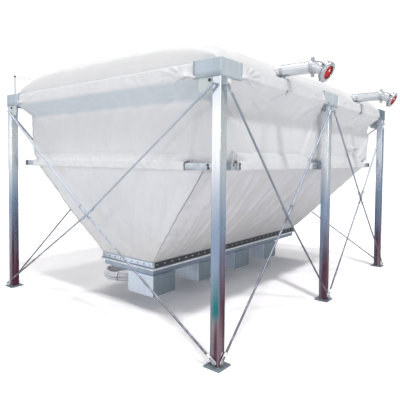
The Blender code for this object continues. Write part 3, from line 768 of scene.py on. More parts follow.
def loop_points(cols, hx, hy, radius):
    """Plan position, outward direction and place along the side."""
    k = cols[:, 0].astype(int)
    f, turn = cols[:, 1], cols[:, 2]
    hx, hy, radius = (np.asarray(v, float)[..., None] for v in (hx, hy, radius))
    even = (k % 2 == 0)
    length = np.where(even, hx, hy) - radius
    depth = np.where(even, hy, hx)
    nxt = (k + 1) % 4
    ang = turn * math.pi / 2
    corner = turn > 0
    way = (np.cos(ang)[:, None] * OUT[k] + np.sin(ang)[:, None] * OUT[nxt])
    flat = (length * f)[..., None] * ALONG[k] + depth[..., None] * OUT[k]
    centre = (length[..., None] * ALONG[k]
              + (depth - radius)[..., None] * OUT[k])
    round_ = centre + radius[..., None] * way
    pos = np.where(corner[:, None], round_, flat)
    place = np.where(corner & (turn >= 0.5),
                     -(np.where(even, hy, hx) - radius)
                     - radius * (math.pi / 2 - ang), length * f + radius * ang)
    side = np.where(corner & (turn >= 0.5), nxt, k)
    return pos, way, side, place


def rows_from(keys, spacing):
    """Rows along a profile of keys (z, offset): smooth, at given spacing."""
    pts = smooth_line([(o, 0.0, z) for z, o in keys], (len(keys) - 1) * 12)
    line = np.array([(p.z, p.x) for p in pts])
    run = np.concatenate([[0], np.cumsum(np.linalg.norm(np.diff(line, axis=0), axis=1))])
    marks = [0.0]
    while marks[-1] < run[-1]:
        z = np.interp(marks[-1], run, line[:, 0])
        marks.append(marks[-1] + spacing(z))
    marks = np.array(marks) * run[-1] / marks[-1]
    return (np.interp(marks, run, line[:, 0]), np.interp(marks, run, line[:, 1]),
            marks)


WALL_KEYS = [(1.600, 0.000), (1.640, -0.002), (1.668, 0.003), (1.700, 0.028),
             (1.735, 0.0425), (1.80, 0.0500), (1.95, 0.0560), (2.08, 0.0560),
             (2.165, 0.0510), (2.205, 0.0540), (2.240, 0.0740), (2.300, 0.1310),
             (2.338, 0.1700), (2.356, 0.1880), (2.366, 0.1955), (2.395, 0.1975),
             (2.440, 0.1975), (2.476, 0.1965), (2.4875, 0.1900),
             (2.4890, 0.1750), (2.4890, 0.1480), (2.4888, 0.1215)]


def side_axis(side, place):
    """The world coordinate along a side, x or y."""
    return np.where(side < 2, place, -place)


def wall_shape():
    z, off, run = rows_from(
        WALL_KEYS, lambda z: 0.0105 if z < 1.70 or z > 2.335 else 0.0185)
    marks_x = [s * m for s in (-1, 1) for m in (0.052, 0.09, 1.0662, 1.0738)]
    straight_x = stations(marks_x, 0.0155, 2.10)
    straight_y = stations([], 0.0155, 1.70)
    cols = loop_columns([straight_x, straight_y, straight_x, straight_y], 14)
    # the bag's corner: round on the wall, wider where it passes inside the
    # post, square on the rail
    radius = np.interp(z, [1.60, 1.70, 1.90, 2.20, 2.345, 2.352, 2.360, 2.366,
                           2.3725, 2.50],
                       [0.20, 0.22, 0.22, 0.22, 0.262, 0.255, 0.17, 0.08, 0.008,
                        0.008])
    top = run > np.interp(2.4885, z[:np.argmax(z)], run[:np.argmax(z)])
    hx, hy = WALL_X + off, WALL_Y + off
    pos, way, side, place = loop_points(cols, hx, hy, radius)
    side = np.broadcast_to(side, place.shape)
    c = side_axis(side, place)
    zz = np.broadcast_to(z[:, None], c.shape)
    oo = np.broadcast_to(off[:, None], c.shape)
    rr = np.broadcast_to(run[:, None], c.shape)
    half = np.where(side % 2 == 0, 2.15, 1.75)
    near = half - np.abs(c)                     # distance to the corner
    s = side * 7.0 + c                          # a coordinate for the noise
    wall = step(1.66, 1.74, zz) * (1 - step(2.20, 2.30, zz))
    lean = step(2.17, 2.23, zz) * (1 - step(2.350, 2.372, zz))
    band = step(2.352, 2.375, zz) * (1 - step(0.165, 0.185, -oo + 0.36))
    d = np.zeros_like(c)
    # slack of the whole wall, soft upright folds and small wrinkles
    d += wall * 0.010 * noise(s * 0.9, zz * 1.3, 11)
    warp = 0.10 * noise(s * 1.1, zz * 2.2, 12)
    calm = 1 - 0.75 * (side == 0) * np.exp(-((c + 0.85) / 0.55) ** 2)
    d += calm * wall * 0.0105 * (ridge(s * 2.6 + warp * 3, zz * 0.50, 13, 3.0) - 0.35)
    d += calm * wall * 0.0060 * (ridge(s * 6.0 + warp * 6, zz * 1.0, 14, 3.0) - 0.35)
    d += (wall + lean) * 0.0018 * noise(s * 12, zz * 8, 15)
    # the shoulder: fan folds that run down from the rail
    fan = c + (zz - 2.36) * 0.9 * np.sin(c * 2.1 + side)
    d += lean * 0.0180 * (ridge(fan * 3.2, zz * 1.6, 21, 2.2) - 0.4)
    d += lean * 0.0090 * (ridge(fan * 7.0 + side * 3, zz * 2.5, 22, 2.0) - 0.4)
    d += lean * -0.020 * np.sin(np.clip((zz - 2.2) / 0.16, 0, 1) * math.pi)
    # folds that start at the heads
    for k, reach in ((0, 2.15), (1, 1.75), (2, 2.15), (3, 1.75)):
        on = (side == k)
        for sgn in (-1, 1):
            for m, (dx, dz, w, h) in enumerate(((0.62, -0.22, 0.026, 0.013),
                                                (0.45, -0.30, 0.030, -0.010),
                                                (0.86, -0.16, 0.022, 0.010),
                                                (0.30, -0.42, 0.026, 0.008))):
                a = sgn * (reach - 0.20)
                d += on * h * 1.4 * crease(c, zz, a, 2.37, a - sgn * dx, 2.37 + dz, w * 1.4, 0.5)
        if k % 2 == 0:
            for sgn in (-1, 1):
                for dx, dz, w, h in ((0.50, -0.20, 0.026, 0.012),
                                     (0.36, -0.30, 0.028, -0.009),
                                     (0.80, -0.15, 0.020, 0.008)):
                    a = sgn * 0.16
                    d += on * h * 1.4 * crease(c, zz, a, 2.37, a + sgn * dx, 2.37 + dz, w * 1.4, 0.5)
    # long sides: each bay has a panel that narrows towards the ring, between
    # two creases
    long = (side % 2 == 0)
    for sgn in (-1, 1):
        a0, a1 = sgn * 1.99, sgn * 1.30
        b0, b1 = sgn * 0.10, sgn * 0.43
        t = np.clip((2.17 - zz) / 0.55, 0, 1)
        line_a, line_b = a0 + (a1 - a0) * t, b0 + (b1 - b0) * t
        inside = (step(-0.02, 0.10, sgn * (line_a - c))
                  * step(-0.02, 0.10, sgn * (c - line_b)))
        d += long * wall * -0.015 * inside
        d += long * 0.014 * crease(c, zz, a0, 2.20, a1, 1.63, 0.038, 0.6)
        d += long * 0.012 * crease(c, zz, b0, 2.20, b1, 1.63, 0.036, -0.6)
    # short sides: the last strip before the corner lies deeper
    short = (side % 2 == 1)
    edge = np.abs(c) - (1.265 + 0.135 * np.clip((zz - 1.66) / 0.56, 0, 1))
    d += short * (step(1.66, 1.72, zz) * (1 - step(2.22, 2.34, zz))) * (
        -0.026 * step(0.0, 0.035, edge)
        + 0.012 * np.exp(-((edge + 0.012) / 0.022) ** 2))
    d += short * 0.006 * wall * (ridge(c * 1.9, zz * 0.3, 31, 3) - 0.3)
    # the gathered port in the front wall's right bay
    port = (side == 0)
    px, pz = c - 0.995, zz - 1.868
    rad = np.hypot(px * 0.72, pz) + 1e-6
    ang = np.arctan2(pz, px)
    star = np.cos(ang * 9 + 1.5 * np.sin(ang * 2)) * np.exp(-rad / 0.060) * step(0.012, 0.035, rad)
    d += port * (0.013 * star + 0.020 * np.exp(-(rad / 0.040) ** 2))
    d += port * 0.006 * np.exp(-(pz / 0.014) ** 2) * np.exp(-(px / 0.16) ** 2)
    # the sleeve round the rail: small upright puckers, quiet under the heads
    head = np.where(long, np.maximum(1 - step(0.17, 0.23, np.abs(c)),
                                     1 - step(0.26, 0.34, near)),
                    1 - step(0.26, 0.34, near))
    puck = noise(s * 9.0 + 0.4 * noise(s * 3, zz * 5, 42), zz * 3.0, 41)
    tilt = s + (zz - 2.43) * 0.55 * np.sign(noise(s * 0.8, zz * 0, 47))
    some = step(-0.35, 0.45, noise(s * 1.4, zz * 0, 46))
    ruffle = (0.0050 * (1 + puck) + 0.0110 * some * ridge(tilt * 5.5, zz * 1.2, 45, 2.4)
              + 0.0060 * ridge(tilt * 12.0, zz * 2.0, 48, 2.2)
              + 0.0020 * noise(s * 20, zz * 7, 44))
    # a fan of folds from the lower corner of every head's leg
    fan = np.zeros_like(c)
    for k, ends in ((0, (-1.865, -0.195, 0.195, 1.865)), (2, (-1.865, -0.195, 0.195, 1.865)),
                    (1, (-1.40, 1.40)), (3, (-1.40, 1.40))):
        for e in ends:
            away = 1.0 if (e < 0 and abs(e) > 1) or (0 < e < 1) else -1.0
            for dx, dz, w, h in ((0.10, 0.125, 0.013, 0.012), (0.19, 0.120, 0.015, 0.011),
                                 (0.30, 0.095, 0.016, 0.010), (0.30, 0.030, 0.016, 0.009),
                                 (0.25, -0.060, 0.018, 0.010), (0.05, 0.130, 0.011, 0.008)):
                fan += (side == k) * h * crease(c, zz, e - away * 0.02, 2.362, e + away * dx,
                                                2.362 + dz, w, 0.3)
    d += band * (1 - head) * (ruffle + 1.5 * fan)
    d += (lean + 0.3 * wall) * (1 - head) * fan * 1.7
    d = np.where((band > 0.5) & (d < 0.0004), 0.0004, d)
    d -= (1 - step(2.340, 2.372, zz)) * step(2.30, 2.34, zz) * head * 0.004
    # slits under the fill pipes: the right lip stands out, a fold runs down
    slit = np.zeros_like(c)
    for sgn in (-1, 1):
        x = sgn * PIPE_X
        lip = (c - (x + 0.0045))
        slit += band * (side == 0) * 0.004 * np.exp(-np.clip(lip, 0, 1) / 0.030) * (lip > -0.004)
        slit += band * (side == 0) * -0.004 * np.exp(-np.clip(-lip - 0.012, 0, 1) / 0.02) * (lip < -0.008)
        slit += (side == 0) * -0.016 * crease(c, zz, x - 0.002, 2.368, x - 0.13, 2.255, 0.013, 0)
        slit += (side == 0) * 0.007 * crease(c, zz, x + 0.028, 2.368, x - 0.10, 2.240, 0.015, 0)
    d += slit
    turned_in = step(0.0, 0.02, oo * 0 + np.where(np.arange(len(z)) > np.argmax(z) - 2, 1.0, 0.0)[:, None])
    d *= 1 - turned_in
    flat = pos + d[..., None] * way
    # the lower edge of the sleeve isn't straight
    sag = 0.005 * noise(s * 1.6, zz * 0, 51) * (1 - head)
    hang = np.exp(-((zz - 2.362) / 0.03) ** 2) * sag
    z_new = zz + hang
    # inside the posts
    x, y = flat[..., 0], flat[..., 1]
    limit = 1.650 + np.maximum(0, np.abs(x) - 0.054) * 1.1
    low = (zz < 2.352) & (np.abs(y) > limit)
    y = np.where(low, np.sign(y) * limit, y)
    pts = np.stack([x, y, z_new], -1)
    # openings: at the posts' tops, and the slits
    mid = lambda a: (a + np.roll(a, -1, 1))[:-1] / 4 + (a + np.roll(a, -1, 1))[1:] / 4
    mx, my, mz = mid(x), mid(y), mid(z_new)
    keep = np.ones(mx.shape, bool)
    keep &= ~((np.abs(mx) < 0.052) & (np.abs(my) > 1.64) & (mz > 2.350) & (mz < 2.381))
    keep &= ~((np.abs(mx) > 2.045) & (np.abs(my) > 1.645) & (mz > 2.346) & (mz < 2.381))
    on_front = (my < -1.66) & (mz > 2.362)
    keep &= ~(on_front & (np.abs(np.abs(mx) - PIPE_X) < 0.0039) & (mz < 2.4885))
    uv = np.stack([np.broadcast_to(np.arange(len(cols)) * 0.0155, c.shape), rr], -1)
    return pts, keep, uv


def make_walls():
    pts, keep, uv = wall_shape()
    mesh = grid_mesh("bag_walls", pts, uv, close=True, keep=keep)
    obj = add("bag_walls", mesh, BAG)
    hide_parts(*["wall_" + s for s in SIDES])
    area = float(sum(p.area for p in mesh.polygons))
    return obj, area


WALLS, wall_area = make_walls()


# ------------------------------------------------------------------ hopper
# Folds of the long hopper sides as (x, z) at the lower and the upper end,
# half width and height.  They fan out from where the bag is held: from the
# ring's ends, from the middle posts' brackets and from the trough's corners.
LONG_FOLDS = [
    (-1.52, 0.86, -1.74, 1.52, 0.020, 0.012), (-1.30, 1.02, -1.52, 1.56, 0.022, -0.010),
    (-1.18, 0.80, -1.38, 1.36, 0.018, 0.012), (-1.06, 1.12, -1.27, 1.56, 0.020, 0.014),
    (-1.00, 0.70, -1.12, 1.24, 0.022, -0.012), (-0.93, 1.08, -1.12, 1.56, 0.018, 0.013),
    (-0.82, 0.66, -0.92, 1.16, 0.020, 0.012), (-0.72, 1.02, -0.84, 1.54, 0.024, -0.011),
    (-0.60, 0.72, -0.66, 1.30, 0.018, 0.013), (-0.44, 0.90, -0.52, 1.50, 0.022, 0.012),
    (-0.32, 0.66, -0.36, 1.22, 0.020, -0.012), (-0.20, 0.82, -0.22, 1.40, 0.018, 0.012),
    (-0.06, 0.66, -0.06, 1.14, 0.022, 0.011), (0.08, 0.80, 0.02, 1.52, 0.018, 0.012),
    (0.24, 0.70, 0.13, 1.48, 0.020, -0.011), (0.42, 0.74, 0.17, 1.50, 0.018, 0.012),
    (0.66, 0.78, 0.22, 1.52, 0.020, 0.014), (0.90, 0.74, 0.32, 1.50, 0.022, -0.012),
    (1.12, 0.80, 0.46, 1.44, 0.022, 0.014), (1.32, 0.74, 0.70, 1.36, 0.024, 0.012),
    (1.48, 0.82, 0.98, 1.42, 0.022, -0.010), (1.60, 0.90, 1.26, 1.50, 0.022, 0.012),
    (1.62, 1.10, 1.52, 1.56, 0.022, 0.010)]
# Folds of the short hopper sides as (y, z) pairs.
SHORT_FOLDS = [
    (-0.62, 0.78, -0.98, 1.46, 0.026, 0.012), (-0.40, 0.66, -0.66, 1.40, 0.026, -0.010),
    (-0.29, 0.90, -0.18, 1.50, 0.022, 0.009), (-0.16, 0.62, -0.44, 1.34, 0.026, 0.010),
    (0.02, 0.70, -0.04, 1.48, 0.030, -0.008), (0.18, 0.62, 0.22, 1.30, 0.026, 0.009),
    (0.34, 0.70, 0.52, 1.46, 0.028, -0.008), (0.46, 0.74, 0.84, 1.50, 0.026, 0.010),
    (-0.80, 1.06, -1.12, 1.52, 0.024, 0.010), (0.66, 0.96, 1.10, 1.52, 0.024, 0.008)]


def hopper_shape():
    low, high = TROUGH_TOP + 0.001, 1.5990
    t = np.concatenate([[-0.075, -0.035], np.linspace(0, 1, 74)])
    z = low + (high - low) * t
    s = np.clip(t, 0, 1)
    hx = TROUGH_X - 0.0068 + (WALL_X - TROUGH_X + 0.0068) * s
    hy = TROUGH_Y - 0.0068 + (WALL_Y - TROUGH_Y + 0.0068) * s
    radius = 0.012 + 0.188 * s ** 1.5
    marks = []
    straight_x = stations(marks, 0.0112, 1.80)
    straight_y = stations(marks, 0.0112, 1.20)
    cols = loop_columns([straight_x, straight_y, straight_x, straight_y], 16)
    pos, way, side, place = loop_points(cols, hx, hy, radius)
    side = np.broadcast_to(side, place.shape)
    c = side_axis(side, place)
    zz = np.broadcast_to(z[:, None], c.shape)
    tt = np.broadcast_to(s[:, None], c.shape)
    held = step(0.0, 0.07, tt) * (1 - step(0.955, 1.0, tt))
    half = np.where(side % 2 == 0, hx[:, None], hy[:, None])
    near = half - np.abs(c)
    long = side % 2 == 0
    run = side * 5.0 + c
    # most of the gathering is at the front left seam, the others are tighter
    slack = np.where((pos[..., 0] < 0) & (pos[..., 1] < 0), 1.0, 0.30)
    fade = 1 - np.where(slack < 1, 0.75, 0.0) * np.exp(-(near / 0.30) ** 2)
    d = np.zeros_like(c)
    # the panels belly out a little and sag between their folds
    belly = np.sin(np.clip(tt, 0, 1) * math.pi)
    d += belly * np.where(long, 0.010, 0.014) * step(0.0, 0.5, near)
    d += held * 0.010 * noise(run * 1.1, zz * 1.4, 61)
    mirror = np.where(side == 2, -1.0, 1.0)
    for x0, z0, x1, z1, w, h in LONG_FOLDS:
        d += fade * long * held * h * 1.35 * crease(c * mirror, zz, x0, z0, x1, z1, w * 1.55, 0.5)
    mirror = np.where(side == 1, -1.0, 1.0)
    for y0, z0, y1, z1, w, h in SHORT_FOLDS:
        d += fade * ~long * held * h * 1.1 * crease(c * mirror, zz, y0, z0, y1, z1, w * 1.5, 0.3)
    # smaller folds between them, in the same directions
    lean = np.where(long, np.interp(c * np.where(side == 2, -1.0, 1.0),
                                    [-1.9, -1.2, -0.6, 0.0, 0.5, 1.0, 1.9],
                                    [0.40, 0.40, 0.16, 0.05, 0.60, 0.80, 0.20]),
                    c * 0.45)
    across = c + lean * (zz - 1.0) + 0.03 * noise(run * 2, zz * 3, 65)
    d += fade * held * np.where(long, 0.0120, 0.0060) * (ridge((across + side * 3) * 5.0, zz * 0.9, 62, 3.0) - 0.35)
    d += fade * held * np.where(long, 0.0065, 0.0040) * (ridge((across + side * 5) * 10.0, zz * 1.8, 63, 2.5) - 0.35)
    d += held * 0.0020 * noise(run * 14, zz * 10, 64)
    # corners: the cloth is gathered along the seam
    seam = np.exp(-(near / 0.16) ** 2)
    pucker = noise(zz * 13 + 0.6 * noise(run * 4, zz * 5, 71), near * 5 + side, 72)
    d += slack * held * seam * 0.0060 * pucker
    close = np.exp(-(near / 0.24) ** 2) * long
    d += slack * held * close * 0.0040 * (ridge(zz * 11 + c * 3.0 + 0.5 * noise(run * 3, zz * 3, 73),
                                        near * 3.5 + side, 74, 2.2) - 0.3)
    rng = np.random.default_rng(7)
    for i in range(18):
        zc = 0.74 + 0.046 * i + 0.014 * rng.standard_normal()
        reach = 0.15 + 0.16 * rng.random()
        drop = 0.015 + 0.035 * rng.random()
        h = (0.0115, -0.0085)[i % 3 == 2] * (0.7 + 0.6 * rng.random())
        one = crease(near, zz, -0.02, zc + 0.012, reach, zc - drop, 0.019, 0.25)
        d += slack * held * h * one * np.where(long, 1.0, 1 - step(0.03, 0.12, near))
    # the short side dips in before its corner in the upper half, so that a
    # shaded valley runs along the seam there
    valley = ~long * step(0.52, 0.92, tt)
    mid = 0.115 * step(0.5, 1.0, tt) + 0.02
    d += valley * (-0.055 * np.exp(-((near - mid) / (0.050 + 0.03 * tt)) ** 2)
                   + 0.016 * np.exp(-((near - mid - 0.11) / 0.030) ** 2))
    # rows near the trough's band lie in small pleats
    d += (1 - step(0.03, 0.16, tt)) * step(0.0, 0.02, tt) * 0.0030 * noise(run * 11, zz * 3, 66)
    slope = np.where(long, 0.69, 0.957)
    flat = pos + (d * slope)[..., None] * way
    z_new = zz - d * np.where(long, 0.72, 0.29)
    pts = np.stack([flat[..., 0], flat[..., 1], z_new], -1)
    # the end that is clamped inside the trough's band
    tuck = t < 0
    pts[tuck, :, 2] = zz[tuck]
    uv = np.stack([np.broadcast_to(np.arange(len(cols)) * 0.0112, c.shape),
                   zz * 1.3], -1)
    return pts, uv, (z, hy, side, c)


def make_hopper():
    pts, uv, extra = hopper_shape()
    mesh = grid_mesh("bag_hopper", pts, uv, close=True)
    obj = add("bag_hopper", mesh, BAG_HOPPER)
    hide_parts(*["hopper_" + s for s in SIDES])
    area = float(sum(p.area for p in mesh.polygons))
    # the corner seams: a sewn welt on the short sides, just before the corner, dark as painted shade of the crease
    # there
    bm = bmesh.new()
    z, hy, side, c = extra
    for sx in (-1, 1):
        for sy in (-1, 1):
            line = []
            for i in range(2, len(z) - 2):
                near = float(np.interp((z[i] - z[2]) / (z[-1] - z[2]), [0, 0.12, 0.66, 1],
                                       [0.004, 0.02, 0.095, 0.150]))
                on = (side[i] == (1 if sx > 0 else 3)) & (np.sign(c[i]) == sy)
                want = sy * (hy[i] - near)
                order = np.argsort(c[i][on])
                along = c[i][on][order]
                line.append(Vector([float(np.interp(want, along, pts[i][on][order][:, j]))
                                    for j in range(3)]) + Vector((sx * 0.0008, 0, -0.0003)))
            pts2 = [(line[max(i - 1, 0)] + line[i] + line[min(i + 1, len(line) - 1)]) / 3
                    for i in range(len(line))]
            tube(bm, pts2, [0.0026 + 0.0034 * k / (len(pts2) - 1) for k in range(len(pts2))],
                 8, round_ends=True)
    obj2 = add("bag_corner_seams", from_bmesh(bm, "bag_corner_seams"), SEAM_SHADE)
    return obj, area


# dark colour of the corner welts: painted shade of the crease along the seam
SEAM_SHADE = plastic("seam_shade", (0.36, 0.36, 0.365), (0.27, 0.27, 0.275), (0.6, 0.8), 40.0)
HOPPER, hopper_area = make_hopper()


# ------------------------------------------------------------------ roof
def roof_height(u, v):
    """Height of the soft roof over its rim, for u and v from -1 to 1."""
    edge_u = np.maximum(0.0, 1.0 - np.abs(u) ** 5.5) ** 0.12
    edge_v = np.maximum(0.0, 1.0 - np.abs(v) ** 4.3) ** 0.48
    crown = 0.77 + 0.23 * (1.0 - u * u) * (1.0 - v * v)
    return edge_u * edge_v * crown


def make_roof():
    def spread(n, power):
        t = np.linspace(-1, 1, n)
        return np.sign(t) * (1 - (1 - np.abs(t)) ** power)

    nu, nv = 190, 150
    u, v = np.meshgrid(spread(nu, 2.6), spread(nv, 1.9))
    x, y = u * ROOF_X, v * ROOF_Y
    rise = ROOF_HIGH - ROOF_LOW - 0.006
    h = rise * roof_height(u, v)
    # slack cloth: broad dips between soft ridges, small folds at the rim
    inner = np.clip(h / 0.10, 0, 1)
    edge = np.maximum(np.abs(u), np.abs(v))
    d = 0.012 * noise(x * 0.8, y * 0.8, 81) * step(0, 1, inner)
    swirl = 0.35 * noise(x * 0.9, y * 0.9, 84)
    d += 0.0075 * (ridge(x * 1.7 + swirl, y * 1.1, 82, 3) - 0.4) * inner
    d += 0.0040 * (ridge(x * 4.2 + swirl * 2, y * 3.1 + swirl, 83, 3) - 0.4) * inner
    rim = step(0.80, 0.93, edge) * inner
    around = np.arctan2(y / ROOF_Y, x / ROOF_X)
    d += rim * 0.008 * (ridge(around * 9 + swirl, edge * 3, 85, 2.2) - 0.4)
    d += rim * 0.004 * (ridge(around * 22 + swirl, edge * 6, 86, 2.0) - 0.4)
    d += 0.0012 * noise(x * 12, y * 12, 87) * inner
    # diagonal tension folds from the four corners
    for sx in (-1, 1):
        for sy in (-1, 1):
            for a, b, w, hh in (((1.98, 1.58), (1.15, 0.95), 0.055, 0.016),
                                ((1.99, 1.40), (1.30, 0.55), 0.045, -0.009),
                                ((1.75, 1.60), (0.80, 1.15), 0.045, 0.011)):
                d += hh * inner * crease(x * sx, y * sy, *a, *b, w, 0.3)
    z = ROOF_LOW + 0.006 + np.maximum(h + d, 0.0)
    pts = np.stack([x, y, z], -1)
    # openings round the fill pipes
    fx, fy = pts[..., 0], pts[..., 1]
    cell = lambda a: (a[:-1, :-1] + a[1:, :-1] + a[:-1, 1:] + a[1:, 1:]) / 4
    cx, cy, cz = cell(fx), cell(fy), cell(z)
    hole = (np.hypot(np.abs(cx) - PIPE_X, cz - PIPE_Z) < PIPE_R + 0.004) & (cy < -1.45)
    uv = np.stack([x, y], -1)
    mesh = grid_mesh("bag_roof", pts, uv, keep=~hole)
    obj = add("bag_roof", mesh, BAG_ROOF)
    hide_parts("roof")
    area = float(sum(p.area for p in mesh.polygons))
    return obj, area


ROOF, roof_area = make_roof()
print("areas", wall_area, hopper_area, roof_area)


# ------------------------------------------------------------------ steel
def square_ring(size, radius, steps):
    """Outline of a square with rounded corners."""
    half = size / 2 - radius
    pts = []
    for cx, cy, a0 in ((1, 1, 0), (-1, 1, 90), (-1, -1, 180), (1, -1, 270)):
        for i in range(steps + 1):
            a = math.radians(a0 + 90 * i / steps)
            pts.append((cx * half + radius * math.cos(a),
                        cy * half + radius * math.sin(a)))
    return pts


def square_tube(bm, start, end, size, wall=0.003, radius=0.007, steps=4, cuts=1):
    """A hollow square tube with rounded edges and open ends."""
    start, end = Vector(start), Vector(end)
    way = (end - start).normalized()
    up = Vector((0, 0, 1)) if abs(way.z) < 0.9 else Vector((0, 1, 0))
    side = way.cross(up).normalized()
    up = side.cross(way)
    outer = square_ring(size, radius, steps)
    inner = square_ring(size - 2 * wall, max(radius - wall, 0.001), steps)
    rings = []
    for k in range(cuts + 1):
        p = start.lerp(end, k / cuts)
        rings.append([bm.verts.new(p + side * a + up * b) for a, b in outer])
    for p in (end, start):
        rings.append([bm.verts.new(p + side * a + up * b) for a, b in inner])
    n = len(outer)
    for q, r in zip(rings, rings[1:] + rings[:1]):
        for k in range(n):
            j = (k + 1) % n
            bm.faces.new((q[k], q[j], r[j], r[k]))


def slab(bm, outline, normal, thick, origin=(0, 0, 0), bevel=0.0008):
    """A flat plate: an outline of 3D points pushed back along its normal."""
    normal = Vector(normal).normalized()
    origin = Vector(origin)
    front = [bm.verts.new(Vector(p) + origin) for p in outline]
    back = [bm.verts.new(Vector(p) + origin - normal * thick) for p in outline]
    n = len(front)
    faces = [bm.faces.new(front), bm.faces.new(list(reversed(back)))]
    for k in range(n):
        j = (k + 1) % n
        faces.append(bm.faces.new((front[j], front[k], back[k], back[j])))
    return faces


def weld(bm, points, radius, seed=0, closed=True):
    """A bead of weld along a line, its size a little uneven."""
    pts = [Vector(p) for p in points]
    if closed:
        pts.append(pts[0])
    line = []
    for a, b in zip(pts, pts[1:]):
        n = max(1, int((b - a).length / 0.007))
        line += [a.lerp(b, k / n) for k in range(n)]
    line.append(pts[-1])
    sizes = [radius * (1 + 0.22 * float(noise(i * 0.83, seed * 3.1, 91)))
             for i in range(len(line))]
    tube(bm, line, sizes, 6)


def mirrored(bm, fx, fy):
    """Mirror everything in a bmesh in x and y by signs."""
    bmesh.ops.transform(bm, verts=bm.verts, matrix=Matrix.Diagonal((fx, fy, 1, 1)))
    bmesh.ops.recalc_face_normals(bm, faces=bm.faces)


def finish_bm(bm, name, smooth=35):
    bmesh.ops.recalc_face_normals(bm, faces=bm.faces)
    return from_bmesh(bm, name, smooth)


def post_shaft(bm, cx, cy):
    """The post's shaft: a hollow square tube with rounded edges."""
    square_tube(bm, (cx, cy, 0.0118), (cx, cy, 2.374), POST, 0.004, 0.0085, 4, 24)


def base_plate(tag, cx, cy):
    bm = bmesh.new()
    rbox(bm, (cx - 0.0825, cy - 0.0825, 0.0), (cx + 0.0825, cy + 0.0825, 0.012),
         0.0022, 2)
    ring = [(cx + a, cy + b, 0.0125) for a, b in square_ring(POST + 0.003, 0.010, 3)]
    weld(bm, ring, 0.0042, int(cx * 10 + cy * 7))
    add("base_plate_" + tag, finish_bm(bm, "base_plate_" + tag), PLATE_STEEL)


def post_head_corner(bm, lip):
    """Folded head of the corner post at (-x, -y): two legs and a top."""
    tx, ty = HALF_X + 0.006, HALF_Y + 0.006
    leg, r = 0.292, 0.007
    ex, ey = tx - leg, ty - leg
    # plan line of the outer face, from the x leg's end round to the y leg's
    plan = [((-ex - (tx - ex) * k / 10, -ty), (0, 1)) for k in range(10)]
    plan[0] = ((-ex, -ty), (0, 1))
    for i in range(7):
        a = math.radians(270 - 90 * i / 6)
        c = (-tx + r, -ty + r)
        plan.append(((c[0] + r * math.cos(a), c[1] + r * math.sin(a)),
                     (-math.cos(a), -math.sin(a))))
    plan += [((-tx, -ty + r + (ty - r - ey) * k / 10), (1, 0)) for k in range(1, 11)]
    rows = [(0.0, 2.3505), (0.0, 2.40), (0.0, 2.45), (0.0, HEAD_TOP - 0.006)]
    for i in range(1, 5):
        a = math.radians(90 * i / 4)
        rows.append((0.006 * (1 - math.cos(a)), HEAD_TOP - 0.006 + 0.006 * math.sin(a)))
    grid = []
    for inward, z in rows:
        grid.append([bm.verts.new((p[0] + w[0] * inward, p[1] + w[1] * inward, z))
                     for p, w in plan])
    for q, s in zip(grid, grid[1:]):
        for k in range(len(q) - 1):
            bm.faces.new((q[k], q[k + 1], s[k + 1], s[k]))
    # the top plate
    top = grid[-1]
    inner = [(-tx + 0.091, -ey), (-tx + 0.091, -ty + 0.091), (-ex, -ty + 0.091)]
    bm.faces.new(top + [bm.verts.new((x, y, HEAD_TOP)) for x, y in inner])


def head_lips(bm):
    """Returns along a corner head's lower edge and at the ends of its legs."""
    tx, ty = HALF_X + 0.006, HALF_Y + 0.006
    ex, ey = tx - 0.292, ty - 0.292
    rbox(bm, (-HALF_X + POST + 0.001, -ty + 0.001, 2.3490), (-ex, -ty + 0.021, 2.3535), 0.0015, 2)
    rbox(bm, (-tx + 0.001, -HALF_Y + POST + 0.001, 2.3490), (-tx + 0.021, -ey, 2.3535), 0.0015, 2)
    rbox(bm, (-ex - 0.004, -ty + 0.001, 2.351), (-ex + 0.0005, -ty + 0.0125, 2.494), 0.0015, 2)
    rbox(bm, (-tx + 0.001, -ey - 0.004, 2.351), (-tx + 0.0125, -ey + 0.0005, 2.494), 0.0015, 2)


def gusset(bm):
    """Fish plate beside the post, under the head, on the short side."""
    x = -HALF_X - 0.0005
    y0, y1, z1, z0 = -HALF_Y + POST - 0.004, -1.520, 2.352, 2.228
    pts = [(x, y0, z0 - 0.010), (x, y0, z1), (x, y1, z1), (x, y1, z0 + 0.048)]
    for i in range(1, 9):
        a = math.radians(90 * i / 8)
        pts.append((x, y1 - 0.048 * (1 - math.cos(a)), z0 + 0.048 * (1 - math.sin(a))))
    slab(bm, pts, (-1, 0, 0), 0.005)


def strap_end(bm, rods, foot, way, normal, out, length=0.105, broad=0.032):
    """Flattened fork of a brace at foot; returns where its bolt goes."""
    way, normal = Vector(way).normalized(), Vector(normal)
    side = way.cross(normal)
    foot = Vector(foot) + normal * out
    # an outline that narrows to the rod
    pts = []
    for i in range(9):
        a = math.radians(90 + 180 * i / 8)
        pts.append(foot + way * (broad / 2 * math.cos(a)) + side * (broad / 2 * math.sin(a)))
    pts += [foot + way * (length - 0.030) - side * broad / 2,
            foot + way * length - side * 0.011, foot + way * length + side * 0.011,
            foot + way * (length - 0.030) + side * broad / 2]
    slab(bm, [p + normal * 0.0030 for p in pts], normal, 0.006)
    tube(bm, [foot + way * (length - 0.030), foot + way * (length + 0.004)], 0.0130, 12,
         round_ends=False)
    return foot


